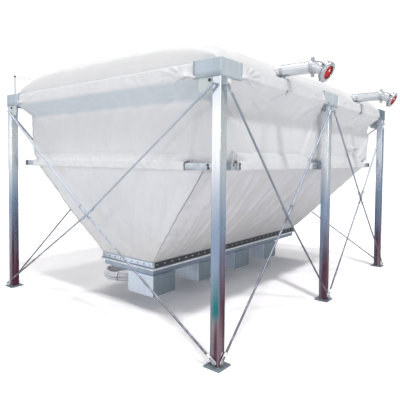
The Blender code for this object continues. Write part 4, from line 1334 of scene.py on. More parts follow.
def brace_hardware():
    """Forks at the braces' ends, bolts, and tensioning sleeves."""
    forks, bolts, upper = bmesh.new(), bmesh.new(), bmesh.new()
    long_sleeves, short_sleeves = bmesh.new(), bmesh.new()
    inner, outer = BRACE_R + 0.0006, 3 * BRACE_R + 0.003
    px, py = HALF_X - POST / 2, HALF_Y - POST / 2

    def one(name, p, q, normal, away, sag):
        p, q, normal = Vector(p), Vector(q), Vector(normal)
        middle = (p + q) / 2 - Vector((0, 0, sag))
        bm = bmesh.new()
        tube(bm, [v + normal * away for v in (p, middle, q)], BRACE_R, 20)
        obj = add("rod_" + name, finish_bm(bm, "rod_" + name),
                  GALV_ROD if abs(normal.y) > 0.5 else GALV_ROD_SHORT_LIT)
        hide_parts("brace_" + name)
        for foot in (p, q):
            w = (middle - foot).normalized()
            if foot.z < 1:
                at = strap_end(forks, None, foot - w * 0.020, w, normal, away, 0.086, 0.034)
            else:
                at = strap_end(upper, None, foot + w * 0.004, w, normal, away, 0.075, 0.027)
            bolt(bolts, at + normal * 0.0032, normal, 0.0100, 0.0075, foot.z < 1, 0.006)
            tube(bolts, [at - normal * (away - 0.0005), at + normal * 0.002], 0.0075, 12)
        mid = middle + normal * away
        top, foot = (p, q) if p.z > q.z else (q, p)
        run, low = (top - middle).normalized(), (foot - middle).normalized()
        sleeves = long_sleeves if abs(normal.y) > 0.5 else short_sleeves
        tube(sleeves, [mid + run * 0.040, mid + run * 0.150], 0.0140, 14)
        for a, b in ((0.030, 0.044), (0.146, 0.160)):
            turned(sleeves, [(0, 0.0165), (0.001, 0.0190), (b - a - 0.001, 0.0190),
                             (b - a, 0.0165)], mid + run * a, run, 6)
        turned(sleeves, [(0, 0.0150), (0.001, 0.0175), (0.011, 0.0175), (0.012, 0.0150)],
               mid + low * 0.038, low, 6)
        # the locking wing on the upper nut
        across = run.cross(normal).normalized()
        turned(sleeves, [(-0.030, 0.004), (-0.029, 0.0050), (0.029, 0.0050), (0.030, 0.004)],
               mid + run * 0.153, across, 8)

    for end, sy in (("front", -1), ("back", 1)):
        face = sy * HALF_Y
        for bay, x0, x1 in (("left", -px, -0.022), ("right", 0.022, px)):
            sag, name = BRACE_SAG[bay], f"{end}_{bay}_"
            one(name + "rising", (x0, face, BRACE_FOOT), (x1, face, BRACE_HIGH),
                (0, sy, 0), inner, sag)
            one(name + "falling", (x0, face, BRACE_HIGH), (x1, face, BRACE_FOOT),
                (0, sy, 0), outer, sag)
    for end, sx in (("left", -1), ("right", 1)):
        face, sag = sx * HALF_X, BRACE_SAG["end"]
        one(end + "_rising", (face, -py, BRACE_FOOT), (face, py, BRACE_HIGH),
            (sx, 0, 0), inner, sag)
        one(end + "_falling", (face, -py, BRACE_HIGH), (face, py, BRACE_FOOT),
            (sx, 0, 0), outer, sag)
    add("brace_forks", finish_bm(forks, "brace_forks"), BRIGHT)
    add("brace_forks_upper", finish_bm(upper, "brace_forks_upper"), GALV_HEAD)
    add("brace_bolts", finish_bm(bolts, "brace_bolts"), ZINC)
    add("brace_sleeves", finish_bm(long_sleeves, "brace_sleeves"), GALV_ROD)
    add("brace_sleeves_short", finish_bm(short_sleeves, "brace_sleeves_short"),
        GALV_ROD_SHORT_LIT)


def make_posts():
    corners = {"front_left": (-1, -1), "front_right": (1, -1),
               "back_left": (-1, 1), "back_right": (1, 1)}
    px, py = HALF_X - POST / 2, HALF_Y - POST / 2
    for tag, (sx, sy) in corners.items():
        bm = bmesh.new()
        post_shaft(bm, -px, -py)
        mirrored(bm, -sx, -sy)
        obj = add(f"post_{tag}_tube", from_bmesh(bm, f"post_{tag}_tube"),
                  {"front_left": GALV_POST_NEAR, "front_right": GALV_POST_FAR_SHADED}.get(
                      tag, GALV_POST))
        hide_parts("post_" + tag)
        base_plate(tag, sx * px, sy * py)
        bm = bmesh.new()
        post_head_corner(bm, True)
        mirrored(bm, -sx, -sy)
        obj = add(f"head_{tag}", from_bmesh(bm, f"head_{tag}"),
                  HEAD_SHADED if tag == "front_right" else GALV_HEAD)
        # outward normals everywhere, so the plate thickens inwards
        shell(obj, 0.004, -1.0)
        bm = bmesh.new()
        head_lips(bm)
        mirrored(bm, -sx, -sy)
        add(f"head_{tag}_lips", from_bmesh(bm, f"head_{tag}_lips"), GALV_ROD)
        bm = bmesh.new()
        gusset(bm)
        mirrored(bm, -sx, -sy)
        add(f"gusset_{tag}", from_bmesh(bm, f"gusset_{tag}"), LIGHT_ZINC)
        bm = bmesh.new()
        bolt(bm, (-HALF_X - 0.0058, -1.640, 2.326), (-1, 0, 0), 0.0090, 0.008, True, 0.006)
        mirrored(bm, -sx, -sy)
        add(f"head_{tag}_bolts", from_bmesh(bm, f"head_{tag}_bolts"), CATCH)
        # white plug that closes a hole in the tab beside the post
        bm = bmesh.new()
        turned(bm, [(0.0, 0.024), (0.004, 0.024), (0.008, 0.021), (0.011, 0.013),
                    (0.0115, 0.0)], (-2.042, -HALF_Y - 0.0015, 2.312), (0, -1, 0), 24)
        rbox(bm, (-2.064, -HALF_Y - 0.0015, 2.285), (-2.016, -HALF_Y + 0.0025, 2.3495), 0.0012, 1)
        mirrored(bm, -sx, -sy)
        add(f"plug_{tag}", from_bmesh(bm, f"plug_{tag}"), WHITE)
    for tag, sy in (("front", -1), ("back", 1)):
        bm = bmesh.new()
        post_shaft(bm, 0.0, -py)
        mirrored(bm, 1, -sy)
        obj = add(f"post_{tag}_middle_tube", from_bmesh(bm, f"post_{tag}_middle_tube"),
                  GALV_POST)
        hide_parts(f"post_{tag}_middle")
        base_plate(tag + "_middle", 0.0, sy * py)
        # the head: one folded plate, stiffened by a shallow upright fold
        bm = bmesh.new()
        ty, half = HALF_Y + 0.006, 0.195
        xs = [-half, -0.17, -0.12, -0.07, -0.030, -0.022, -0.012, -0.006, 0.0, 0.006,
              0.012, 0.022, 0.030, 0.07, 0.12, 0.17, half]
        rows = [(0.0, 2.3505), (0.0, 2.40), (0.0, 2.45), (0.0, HEAD_TOP - 0.006)]
        for i in range(1, 5):
            a = math.radians(90 * i / 4)
            rows.append((0.006 * (1 - math.cos(a)), HEAD_TOP - 0.006 + 0.006 * math.sin(a)))
        rows.append((0.091, HEAD_TOP))
        grid = []
        for inward, z in rows:
            rib = 0.0035 * (1 - min(1, inward / 0.05))
            grid.append([bm.verts.new((x, -ty + inward - rib * math.exp(-(x / 0.014) ** 2), z))
                         for x in xs])
        for q, s in zip(grid, grid[1:]):
            for k in range(len(q) - 1):
                bm.faces.new((q[k], q[k + 1], s[k + 1], s[k]))
        mirrored(bm, 1, -sy)
        obj = add(f"head_{tag}_middle", from_bmesh(bm, f"head_{tag}_middle"), GALV_HEAD)
        shell(obj, 0.004, -1.0)
        bm = bmesh.new()
        for s in (-1, 1):
            x0, x1 = sorted((s * 0.046, s * 0.195))
            rbox(bm, (x0, -ty + 0.001, 2.3440), (x1, -ty + 0.023, 2.3535), 0.0015, 2)
            x0, x1 = sorted((s * 0.191, s * 0.1955))
            rbox(bm, (x0, -ty + 0.001, 2.346), (x1, -ty + 0.0125, 2.494), 0.0015, 2)
        # bracket and arm at the ring tube
        rbox(bm, (-0.15, -RING_FACE_Y - 0.0084, RING_Z - 0.045),
             (0.15, -RING_FACE_Y - 0.0004, RING_Z + 0.045), 0.0022, 2)
        square_tube(bm, (0, -RING_FACE_Y - 0.006, RING_Z), (0, -HALF_Y + POST - 0.003, RING_Z),
                    0.06, 0.003, 0.006, 3)
        mirrored(bm, 1, -sy)
        add(f"bracket_{tag}_middle", from_bmesh(bm, f"bracket_{tag}_middle"), GALV_ROD)
        bm = bmesh.new()
        for s in (-1, 1):
            for x in (0.075, 0.125):
                for z in (-0.024, 0.024):
                    bolt(bm, (s * x, -RING_FACE_Y - 0.0084, RING_Z + z), (0, -1, 0), 0.0095, 0.007)
            bolt(bm, (s * 0.0452, -1.699, 2.294), (s, 0, 0), 0.0115, 0.008, True, 0.004)
            bolt(bm, (s * 0.0452, -1.699, 2.338), (s, 0, 0), 0.0090, 0.006)
            bolt(bm, (s * 0.075, -HALF_Y - 0.0062, 2.372), (0, -1, 0), 0.0085, 0.006)
        mirrored(bm, 1, -sy)
        add(f"bolts_{tag}_middle", from_bmesh(bm, f"bolts_{tag}_middle"), ZINC)


def make_rings():
    """Ring tubes, hollow, with dark end caps."""
    half = RING / 2
    for tag, sy in (("front", -1), ("back", 1)):
        bm = bmesh.new()
        y = sy * (RING_FACE_Y - half)
        square_tube(bm, (-RING_END_X, y, RING_Z), (RING_END_X, y, RING_Z), RING, 0.003,
                    0.0065, 4, 24)
        obj = add(f"ring_{tag}", finish_bm(bm, f"ring_{tag}"), GALV)
        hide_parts("ring_tube_" + tag)
    for tag, sx in (("left", -1), ("right", 1)):
        bm = bmesh.new()
        x = sx * (RING_FACE_X - half)
        square_tube(bm, (x, -RING_END_Y, RING_Z), (x, RING_END_Y, RING_Z), RING, 0.003,
                    0.0065, 4, 24)
        obj = add(f"ring_{tag}", finish_bm(bm, f"ring_{tag}"), GALV)
        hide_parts("ring_tube_" + tag)
    bm, pale = bmesh.new(), bmesh.new()
    h = half + 0.0016
    for sx in (-1, 1):
        for sy in (-1, 1):
            x, y = sx * RING_END_X, sy * (RING_FACE_Y - half)
            x0, x1 = sorted((x + sx * 0.0040, x - sx * 0.0030))
            rbox(pale, (x0, y - h, RING_Z - h), (x1, y + h, RING_Z + h), 0.0018, 2)
            x, y = sx * (RING_FACE_X - half), sy * RING_END_Y
            y0, y1 = sorted((y + sy * 0.0040, y - (0.062 if sy > 0 else 0.003) * sy))
            rbox(bm, (x - h, y0, RING_Z - h), (x + h, y1, RING_Z + h), 0.0025, 2)
    add("ring_end_caps", finish_bm(bm, "ring_end_caps"), RING_CAP)
    add("ring_end_plates", finish_bm(pale, "ring_end_plates"), RING_PLATE)
    bm = bmesh.new()
    for sx in (-1, 1):
        for y, z in ((-1.507, 0.013), (-1.512, -0.013)):
            bolt(bm, (sx * RING_FACE_X, y, RING_Z + z), (sx, 0, 0), 0.0080, 0.006, True, 0.004)
        for sy in (-1, 1):
            bolt(bm, (sx * 1.768, sy * RING_FACE_Y, RING_Z + 0.012), (0, sy, 0), 0.0065, 0.005)
    add("ring_bolts", finish_bm(bm, "ring_bolts"), CATCH)


# ------------------------------------------------------------------ trough
def rect_strip(bm, hx, hy, z0, z1, thick, radius=0.004):
    """Four upright bars round a rectangle, mitred at the corners."""
    for sx, sy in ((1, -1), (1, 1), (-1, 1), (-1, -1)):
        pass
    corners = [(-hx, -hy), (hx, -hy), (hx, hy), (-hx, hy)]
    for k in range(4):
        (x0, y0), (x1, y1) = corners[k], corners[(k + 1) % 4]
        n = Vector((y1 - y0, x0 - x1, 0)).normalized()
        t = Vector((x1 - x0, y1 - y0, 0)).normalized()
        a, b = Vector((x0, y0, 0)), Vector((x1, y1, 0))
        prof = [(0.0, z0 + 0.001), (0.0008, z0), (thick - 0.0008, z0), (thick, z0 + 0.0008),
                (thick, z1 - 0.0008), (thick - 0.0008, z1), (0.0008, z1), (0.0, z1 - 0.001)]
        ra = [bm.verts.new(a + n * o - t * o + Vector((0, 0, z))) for o, z in prof]
        rb = [bm.verts.new(b + n * o + t * o + Vector((0, 0, z))) for o, z in prof]
        m = len(prof)
        for i in range(m):
            j = (i + 1) % m
            bm.faces.new((ra[i], ra[j], rb[j], rb[i]))
        bm.faces.new(ra)
        bm.faces.new(list(reversed(rb)))


def make_trough():
    tx, ty, lip = TROUGH_X, TROUGH_Y, TROUGH_LIP + 0.014
    # the tray: a profile swept round the rectangle, open above
    prof = [(-0.0055, TROUGH_TOP), (0.0, TROUGH_TOP), (0.0, lip + 0.003),
            (0.0135, lip + 0.0005), (0.0140, lip - 0.001),
            (0.0140, lip - 0.0115), (0.0130, lip - 0.0125),
            (-0.018, lip - 0.0125), (-0.0200, lip - 0.0150),
            (-0.0200, TROUGH_LOW + 0.003), (-0.0230, TROUGH_LOW),
            (-0.0900, TROUGH_LOW), (-0.0900, TROUGH_LOW + 0.004),
            (-0.0255, TROUGH_LOW + 0.004), (-0.0255, lip - 0.006),
            (-0.0055, lip - 0.003)]
    bm = bmesh.new()
    rings = []
    for o, z in prof:
        ring = []
        for cx, cy in ((-1, -1), (1, -1), (1, 1), (-1, 1)):
            ring.append(bm.verts.new((cx * (tx + o), cy * (ty + o), z)))
        rings.append(ring)
    for q, s in zip(rings, rings[1:] + rings[:1]):
        for k in range(4):
            j = (k + 1) % 4
            bm.faces.new((q[k], q[j], s[j], s[k]))
    # the floor of the tray
    rbox(bm, (-tx + 0.088, -ty + 0.088, TROUGH_LOW + 0.0003),
         (tx - 0.088, ty - 0.088, TROUGH_LOW + 0.0040), 0.0)
    bmesh.ops.recalc_face_normals(bm, faces=bm.faces)
    obj = add("trough_tray", from_bmesh(bm, "trough_tray", 30), SHEET)
    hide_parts("trough")
    # lighter rolled edge of the lip
    bm = bmesh.new()
    rect_strip(bm, tx + 0.0140, ty + 0.0140, lip - 0.0150, lip + 0.0040, 0.0022)
    add("trough_lip_edge", finish_bm(bm, "trough_lip_edge"), BRIGHT)
    # clamping bars: light on the ends, and on the long sides a black strip with bolts in slots, whose black is
    # painted shade
    bm = bmesh.new()
    for sx in (-1, 1):
        x0, x1 = sorted((sx * (tx + 0.0002), sx * (tx + 0.0052)))
        rbox(bm, (x0, -ty + 0.002, lip + 0.018), (x1, ty - 0.002, TROUGH_TOP - 0.004), 0.0012, 2)
    add("clamp_bars_ends", finish_bm(bm, "clamp_bars_ends"), BOX_STEEL)
    bm = bmesh.new()
    for sy in (-1, 1):
        y0, y1 = sorted((sy * (ty + 0.0002), sy * (ty + 0.0050)))
        rbox(bm, (-tx + 0.012, y0, lip + 0.012), (tx - 0.003, y1, TROUGH_TOP - 0.004), 0.0012, 2)
    add("clamp_strips_long", finish_bm(bm, "clamp_strips_long"), RUBBER_AND_SHADE)
    dash, screws = bmesh.new(), bmesh.new()
    zc = (lip + TROUGH_TOP) / 2 + 0.006
    count = 28
    for sy in (-1, 1):
        for k in range(count):
            x = -tx + 0.055 + (2 * tx - 0.11) * k / (count - 1)
            wide = 0.0150 + 0.004 * float(noise(k * 1.7, sy, 93))
            y0, y1 = sorted((sy * (ty + 0.0050), sy * (ty + 0.0078)))
            rbox(dash, (x - wide, y0, zc - 0.0055), (x + wide, y1, zc + 0.0055), 0.0012, 1)
            bolt(screws, (x, sy * (ty + 0.0078), zc), (0, sy, 0), 0.0058, 0.0045, False)
    for sx in (-1, 1):
        for k in range(9):
            y = -ty + 0.045 + (2 * ty - 0.09) * k / 8
            bolt(screws, (sx * (tx + 0.0052), y, zc), (sx, 0, 0), 0.0065, 0.0050, True)
        # end clip of the strip at the corner
        for sy in (-1, 1):
            x0, x1 = sorted((sx * (tx + 0.0005), sx * (tx - 0.016)))
            y0, y1 = sorted((sy * (ty + 0.0002), sy * (ty + 0.0062)))
            rbox(dash, (x0, y0, lip + 0.004), (x1, y1, TROUGH_TOP - 0.001), 0.0012, 1)
    add("clamp_clips", finish_bm(dash, "clamp_clips"), LIGHT_ZINC)
    add("clamp_screws", finish_bm(screws, "clamp_screws"), ZINC)


def make_boxes():
    for k in range(4):
        x = BOX_FIRST + BOX_PITCH * k
        y0, y1 = -TROUGH_Y + 0.0003, -TROUGH_Y + BOX_D
        z0, z1 = BOX_LOW, TROUGH_LOW - 0.0005
        bm = bmesh.new()
        # four sheet sides and an open bottom with a frame
        ring = []
        r = 0.004
        for cx, cy, a0 in ((x + BOX_W - r, y1 - r, 0), (x + r, y1 - r, 90),
                           (x + r, y0 + r, 180), (x + BOX_W - r, y0 + r, 270)):
            for i in range(4):
                a = math.radians(a0 + 90 * i / 3)
                ring.append((cx + r * math.cos(a), cy + r * math.sin(a)))
        def hoop(inset, z):
            mx, my = x + BOX_W / 2, (y0 + y1) / 2
            return [bm.verts.new((px - math.copysign(min(inset, abs(px - mx)), px - mx),
                                  py - math.copysign(min(inset, abs(py - my)), py - my), z))
                    for px, py in ring]
        hoops = [hoop(0.0, z1), hoop(0.0, z0 + 0.10), hoop(0.0, z0 + 0.018),
                 hoop(-0.0022, z0 + 0.016), hoop(-0.0022, z0 + 0.001), hoop(-0.0012, z0),
                 hoop(0.020, z0), hoop(0.022, z0 + 0.002), hoop(0.022, z0 + 0.022)]
        n = len(ring)
        for q, s in zip(hoops, hoops[1:]):
            for i in range(n):
                j = (i + 1) % n
                bm.faces.new((q[i], q[j], s[j], s[i]))
        bm.faces.new(list(reversed(hoops[0])))
        bm.faces.new(hoops[-1])
        if k == 0:
            turned(bm, [(0, 0.0225), (0.058, 0.0225), (0.0602, 0.0210)],
                   (SPIGOT_X, y1 - 0.004, SPIGOT_Z), (0, 1, 0), 24)
            turned(bm, [(0, 0.038), (0.005, 0.038), (0.006, 0.0365)],
                   (SPIGOT_X, y1, SPIGOT_Z), (0, 1, 0), 28)
        bmesh.ops.recalc_face_normals(bm, faces=bm.faces)
        obj = add(f"outlet_{k + 1}", from_bmesh(bm, f"outlet_{k + 1}", 30), BOX_STEEL)
        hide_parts(f"outlet_box_{k + 1}")
    bm = bmesh.new()
    for k in range(4):
        x = BOX_FIRST + BOX_PITCH * k
        y0, y1 = -TROUGH_Y + 0.0003, -TROUGH_Y + BOX_D
        # rivets along the folds
        for z in (0.215, 0.285, 0.355):
            for yy, way in ((y0, -1), (y1, 1)):
                for xx in (x + 0.016, x + BOX_W - 0.016):
                    turned(bm, [(0, 0.0042), (0.0012, 0.0036), (0.0022, 0.0018), (0.0024, 0.0)],
                           (xx, yy, z), (0, way, 0), 10)
            for xx, way in ((x, -1), (x + BOX_W, 1)):
                for yy in (y0 + 0.016, y1 - 0.016):
                    turned(bm, [(0, 0.0042), (0.0012, 0.0036), (0.0022, 0.0018), (0.0024, 0.0)],
                           (xx, yy, z), (way, 0, 0), 10)
    add("outlet_rivets", finish_bm(bm, "outlet_rivets"), ZINC)


# ------------------------------------------------------------------ fill pipes
def make_pipes():
    tilt = PIPE_TILT
    for tag, sx in (("left", -1), ("right", 1)):
        x = sx * PIPE_X
        line = [Vector((x, -1.550 - (PIPE_BEND - 1.550) * k / 8, PIPE_Z)) for k in range(9)]
        for i in range(1, 9):
            a = tilt * i / 8
            line.append(Vector((x, -PIPE_BEND - 0.12 * math.sin(a),
                                PIPE_Z - 0.12 * (1 - math.cos(a)))))
        axis = Vector((0, -math.cos(tilt), -math.sin(tilt)))
        end = line[-1] + axis * 0.045
        line.append(end)
        bm = bmesh.new()
        tube(bm, line, PIPE_R, 40)
        # rolled bead near the elbow's end and a seam ring behind the clamp
        for p, w in ((line[-1] - axis * 0.012, axis), (line[-3], axis),
                     (Vector((x, -PIPE_BEND + 0.060, PIPE_Z)), Vector((0, -1, 0)))):
            turned(bm, [(0, PIPE_R - 0.001), (0.001, PIPE_R + 0.0016), (0.003, PIPE_R + 0.0026),
                        (0.005, PIPE_R + 0.0016), (0.006, PIPE_R - 0.001)], p, w, 40, False)
        obj = add(f"pipe_{tag}", finish_bm(bm, f"pipe_{tag}"), ALU)
        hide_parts("fill_pipe_" + tag)
        # clamp ring with two pairs of lugs and bolts
        bm = bmesh.new()
        y = -PIPE_BEND
        r = PIPE_R
        turned(bm, [(0.0, r + 0.0005), (0.0, r + 0.0080), (0.003, r + 0.0100),
                    (0.008, r + 0.0100), (0.011, r + 0.0068), (0.023, r + 0.0068),
                    (0.026, r + 0.0100), (0.031, r + 0.0100), (0.034, r + 0.0080),
                    (0.034, r + 0.0005)], (x, y + 0.025, PIPE_Z), (0, -1, 0), 44, False)
        for s in (-1, 1):
            zz = PIPE_Z + s * (r + 0.022)
            for dx in (-0.011, 0.0035):
                rbox(bm, (x + dx, y - 0.007, min(zz - s * 0.018, zz + s * 0.014)),
                     (x + dx + 0.0075, y + 0.022, max(zz - s * 0.018, zz + s * 0.014)), 0.002, 2)
            turned(bm, [(-0.022, 0.0045), (0.022, 0.0045), (0.0225, 0.0035)],
                   (x, y + 0.0075, zz), (1, 0, 0), 12)
            turned(bm, [(0, 0.0085), (0.006, 0.0085), (0.007, 0.007)], (x + 0.011, y + 0.0075, zz),
                   (1, 0, 0), 6)
            turned(bm, [(0, 0.0085), (0.006, 0.0085), (0.007, 0.007)], (x - 0.011, y + 0.0075, zz),
                   (-1, 0, 0), 6)
        add(f"pipe_clamp_{tag}", finish_bm(bm, f"pipe_clamp_{tag}"), ALU_DULL)
        # saddle on the rail: a half round cradle on a foot
        bm = bmesh.new()
        rbox(bm, (x - 0.032, -HALF_Y + 0.028, 2.4900), (x + 0.032, -HALF_Y + 0.084, 2.4945), 0.0015, 2)
        rbox(bm, (x - 0.020, -HALF_Y + 0.036, 2.4940), (x + 0.020, -HALF_Y + 0.076, 2.520), 0.002, 2)
        turned(bm, [(0, r + 0.0006), (0, r + 0.0036), (0.028, r + 0.0036), (0.028, r + 0.0006)],
               (x, -HALF_Y + 0.070, PIPE_Z), (0, -1, 0), 40, False)
        add(f"pipe_saddle_{tag}", finish_bm(bm, f"pipe_saddle_{tag}"), ALU_DULL)
        # flat strap from the saddle over the rail and down through the slit
        bm = bmesh.new()
        face = -HALF_Y - 0.0010
        rbox(bm, (x - 0.0036, face - 0.0062, 2.3700), (x + 0.0036, face, 2.4935), 0.0008, 2)
        rbox(bm, (x - 0.0036, face, 2.4903), (x + 0.0036, -HALF_Y + 0.050, 2.4935), 0.0008, 2)
        rbox(bm, (x - 0.0036, face - 0.0060, -0.0440), (x + 0.0036, face + 0.0004, 0.001),
             0.0008, 2, Matrix.Translation((0, face, 2.371)) @ Matrix.Rotation(0.62, 4, "X")
             @ Matrix.Translation((0, -face, 0)))
        bolt(bm, (x, face - 0.0061, 2.470), (0, -1, 0), 0.0030, 0.003)
        add(f"pipe_strap_{tag}", finish_bm(bm, f"pipe_strap_{tag}"), STRAP)
        # the roof's cloth is gathered into a collar on the pipe
        t = np.linspace(0, 1, 26)[:, None]
        a = np.linspace(0, 2 * math.pi, 97)[None, :]
        fold = ridge(a * 3.2 + sx, t * 0.6, 121, 2.0) * np.cos((a - math.pi) * 0.5) ** 2
        rad = (PIPE_R + 0.0012 + 0.0140 * (1 - t) ** 1.6 * (0.75 + 0.5 * fold)
               + 0.0030 * fold * (t < 0.98) + 0.0022 * np.exp(-((t - 0.93) / 0.05) ** 2))
        yy = -1.540 - 0.085 * t + 0 * a
        pts = np.stack([x + rad * np.cos(a), yy, PIPE_Z + rad * np.sin(a)], -1)
        mesh = grid_mesh(f"collar_{tag}", pts[:, :-1], np.stack([a[:, :-1] * 0.05 + 0 * t,
                                                                 yy[:, :-1]], -1), close=True)
        add(f"collar_{tag}", mesh, BAG_ROOF)
        bm = bmesh.new()
        turned(bm, [(0.0, PIPE_R + 0.0020), (0.0015, PIPE_R + 0.0042), (0.0065, PIPE_R + 0.0042),
                    (0.0080, PIPE_R + 0.0020)], (x, -1.612, PIPE_Z), (0, -1, 0), 40, False)
        add(f"collar_tie_{tag}", finish_bm(bm, f"collar_tie_{tag}"), WEBBING)
        # coupling: neck, rear flange, body and a wide front rim
        start = end + axis * 0.0004
        bm = bmesh.new()
        turned(bm, [(0.0, 0.0500), (0.0, 0.0620), (0.004, 0.0700), (0.0115, 0.0740),
                    (0.0125, 0.0880), (0.0145, 0.0925), (0.0190, 0.0945), (0.0250, 0.0945),
                    (0.0290, 0.0925), (0.0305, 0.0880), (0.0310, 0.0800), (0.0340, 0.0785),
                    (0.0370, 0.0800), (0.0378, 0.0920), (0.0395, 0.0962), (0.0430, 0.0980),
                    (0.0540, 0.0980), (0.0580, 0.0965), (0.0600, 0.0930), (0.0602, 0.0860),
                    (0.0585, 0.0835), (0.0590, 0.0790), (0.0560, 0.0772), (0.0480, 0.0768),
                    (0.0470, 0.0700), (0.0470, 0.0)], start, axis, 56)
        obj = add(f"coupling_body_{tag}", finish_bm(bm, f"coupling_body_{tag}", 30), ALU_CAST)
        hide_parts("coupling_" + tag)
        a = axis.orthogonal().normalized()
        a = Vector((1, 0, 0))
        b = axis.cross(a).normalized()
        bm = bmesh.new()
        dark = bmesh.new()
        for deg in (35, 155, 275):
            t = math.radians(deg)
            out = a * math.cos(t) + b * math.sin(t)
            tang = axis.cross(out)
            turn = Matrix((tang, axis, out)).transposed().to_4x4()
            place = Matrix.Translation(start) @ turn
            rbox(bm, (-0.019, 0.010, 0.084), (0.019, 0.034, 0.1010), 0.003, 2, place)
            rbox(bm, (-0.015, 0.031, 0.088), (0.015, 0.0595, 0.1040), 0.003, 2, place)
            rbox(dark, (-0.0085, 0.006, 0.0955), (0.0085, 0.050, 0.1045), 0.0025, 2, place)
            turned(dark, [(-0.024, 0.0050), (0.024, 0.0050), (0.0245, 0.004)],
                   start + axis * 0.022 + out * 0.0965, tang, 12)
        add(f"coupling_lugs_{tag}", finish_bm(bm, f"coupling_lugs_{tag}"), ALU_CAST)
        add(f"coupling_catches_{tag}", finish_bm(dark, f"coupling_catches_{tag}"), CATCH)
        # a dark seal ring between the rim and the cap
        bm = bmesh.new()
        turned(bm, [(0.0540, 0.0765), (0.0585, 0.0765), (0.0600, 0.0785), (0.0595, 0.0825),
                    (0.0570, 0.0835), (0.0540, 0.0830)], start, axis, 48, False)
        turned(bm, [(0.0590, 0.0608), (0.0618, 0.0615), (0.0628, 0.0640), (0.0618, 0.0662),
                    (0.0590, 0.0664)], start, axis, 48, False)
        add(f"coupling_seal_{tag}", finish_bm(bm, f"coupling_seal_{tag}"), RUBBER_AND_SHADE)
        # bezel that presses the cap against its seal
        bm = bmesh.new()
        turned(bm, [(0.0610, 0.0655), (0.0640, 0.0668), (0.0652, 0.0700), (0.0645, 0.0790),
                    (0.0630, 0.0830), (0.0605, 0.0850), (0.0600, 0.0800), (0.0600, 0.0660),
                    (0.0610, 0.0655)], start, axis, 56, False)
        add(f"coupling_bezel_{tag}", finish_bm(bm, f"coupling_bezel_{tag}", 30), ALU_CAST)
        # the cap: a shallow dished disc with a raised middle and a pull tab
        bm = bmesh.new()
        turned(bm, [(0.0475, 0.0), (0.0475, 0.0735), (0.0490, 0.0752), (0.0580, 0.0752),
                    (0.0605, 0.0738), (0.0608, 0.0700), (0.0580, 0.0665), (0.0555, 0.0640),
                    (0.0545, 0.0560), (0.0550, 0.0440), (0.0570, 0.0405), (0.0590, 0.0380),
                    (0.0600, 0.0330), (0.0602, 0.0150), (0.0600, 0.0)], start, axis, 48, False)
        obj = add(f"cap_{tag}", finish_bm(bm, f"cap_{tag}", 30), RED)
        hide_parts("dust_cap_" + tag)
        bm = bmesh.new()
        rbox(bm, (-0.013, 0.0600, 0.008), (0.013, 0.0622, 0.030), 0.001, 2,
             Matrix.Translation(start) @ Matrix((a, axis, b)).transposed().to_4x4())
        add(f"cap_tab_{tag}", finish_bm(bm, f"cap_tab_{tag}"), WHITE)


# ------------------------------------------------------------------ hose
def make_hose_piece():
    bm = bmesh.new()
    uv = bm.loops.layers.uv.new("hose")
    tube(bm, HOSE_PATH, HOSE_R, 20, uv=uv)
    mesh = finish_bm(bm, "hose", 60)
    hose = add("hose", mesh, HOSE)
    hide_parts("hose_tail", "hose_coil", "hose_end")
    pts = [Vector(p) + SHIFT for p in HOSE_PATH]
    length = sum((b - a).length for a, b in zip(pts, pts[1:]))
    # the coupling on the free end
    end = HOSE_PATH[-1]
    way = (HOSE_PATH[-1] - HOSE_PATH[-2]).normalized()
    bm = bmesh.new()
    turned(bm, [(0.0003, 0.0), (0.0003, 0.0150), (0.0010, 0.0172), (0.0150, 0.0176),
                (0.0170, 0.0150), (0.0210, 0.0150), (0.0230, 0.0179), (0.0330, 0.0179),
                (0.0350, 0.0150), (0.0560, 0.0150), (0.0580, 0.0178), (0.0660, 0.0178),
                (0.0720, 0.0165), (0.0745, 0.0150), (0.0745, 0.0110), (0.0600, 0.0105),
                (0.0600, 0.0)], end, way, 32, False)
    fitting = add("hose_coupling", finish_bm(bm, "hose_coupling", 30), ALU_DULL)
    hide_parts("hose_fitting")
    # clips on both ends and ties round the coil
    bm = bmesh.new()
    for p, w in ((HOSE_PATH[0] + Vector((0, 0.012, 0)), Vector((0, 1, 0))),
                 (end - way * 0.034, way)):
        turned(bm, [(0, HOSE_R + 0.0002), (0, HOSE_R + 0.0018), (0.010, HOSE_R + 0.0018),
                    (0.010, HOSE_R + 0.0002)], p, w, 28, False)
        top = p + w * 0.005 + Vector((0, 0, HOSE_R + 0.0018))
        side = w.cross(Vector((0, 0, 1))).normalized()
        turned(bm, [(-0.009, 0.0038), (0.009, 0.0038), (0.0095, 0.003)], top, side, 10)
    add("hose_clips", finish_bm(bm, "hose_clips"), ZINC)
    bm = bmesh.new()
    for deg in (118, 205, 298):
        t = math.radians(deg)
        c = Vector((COIL_X, COIL_Y, 0))
        out = Vector((math.cos(t), math.sin(t), 0))
        r0, r1 = COIL_R - 2 * HOSE_R - 0.0015, COIL_R + 2 * HOSE_R + 0.0015
        line = []
        for r, z in ((r0, 0.020), (r0, 0.040), (r0 + 0.001, 0.058), (r0 + 0.010, 0.076),
                     (COIL_R - 0.017, 0.098), (COIL_R, 0.1050), (COIL_R + 0.017, 0.098),
                     (r1 - 0.010, 0.076), (r1 - 0.001, 0.058), (r1, 0.040), (r1, 0.020),
                     (r1 - 0.010, 0.004), (r1 - 0.036, 0.0022), (r0 + 0.036, 0.0022),
                     (r0 + 0.010, 0.004)):
            line.append(c + out * r + Vector((0, 0, z)))
        line.append(line[0])
        tube(bm, smooth_line(line, 60), 0.0030, 8)
    add("hose_ties", finish_bm(bm, "hose_ties"), CAP_DARK)
    return length


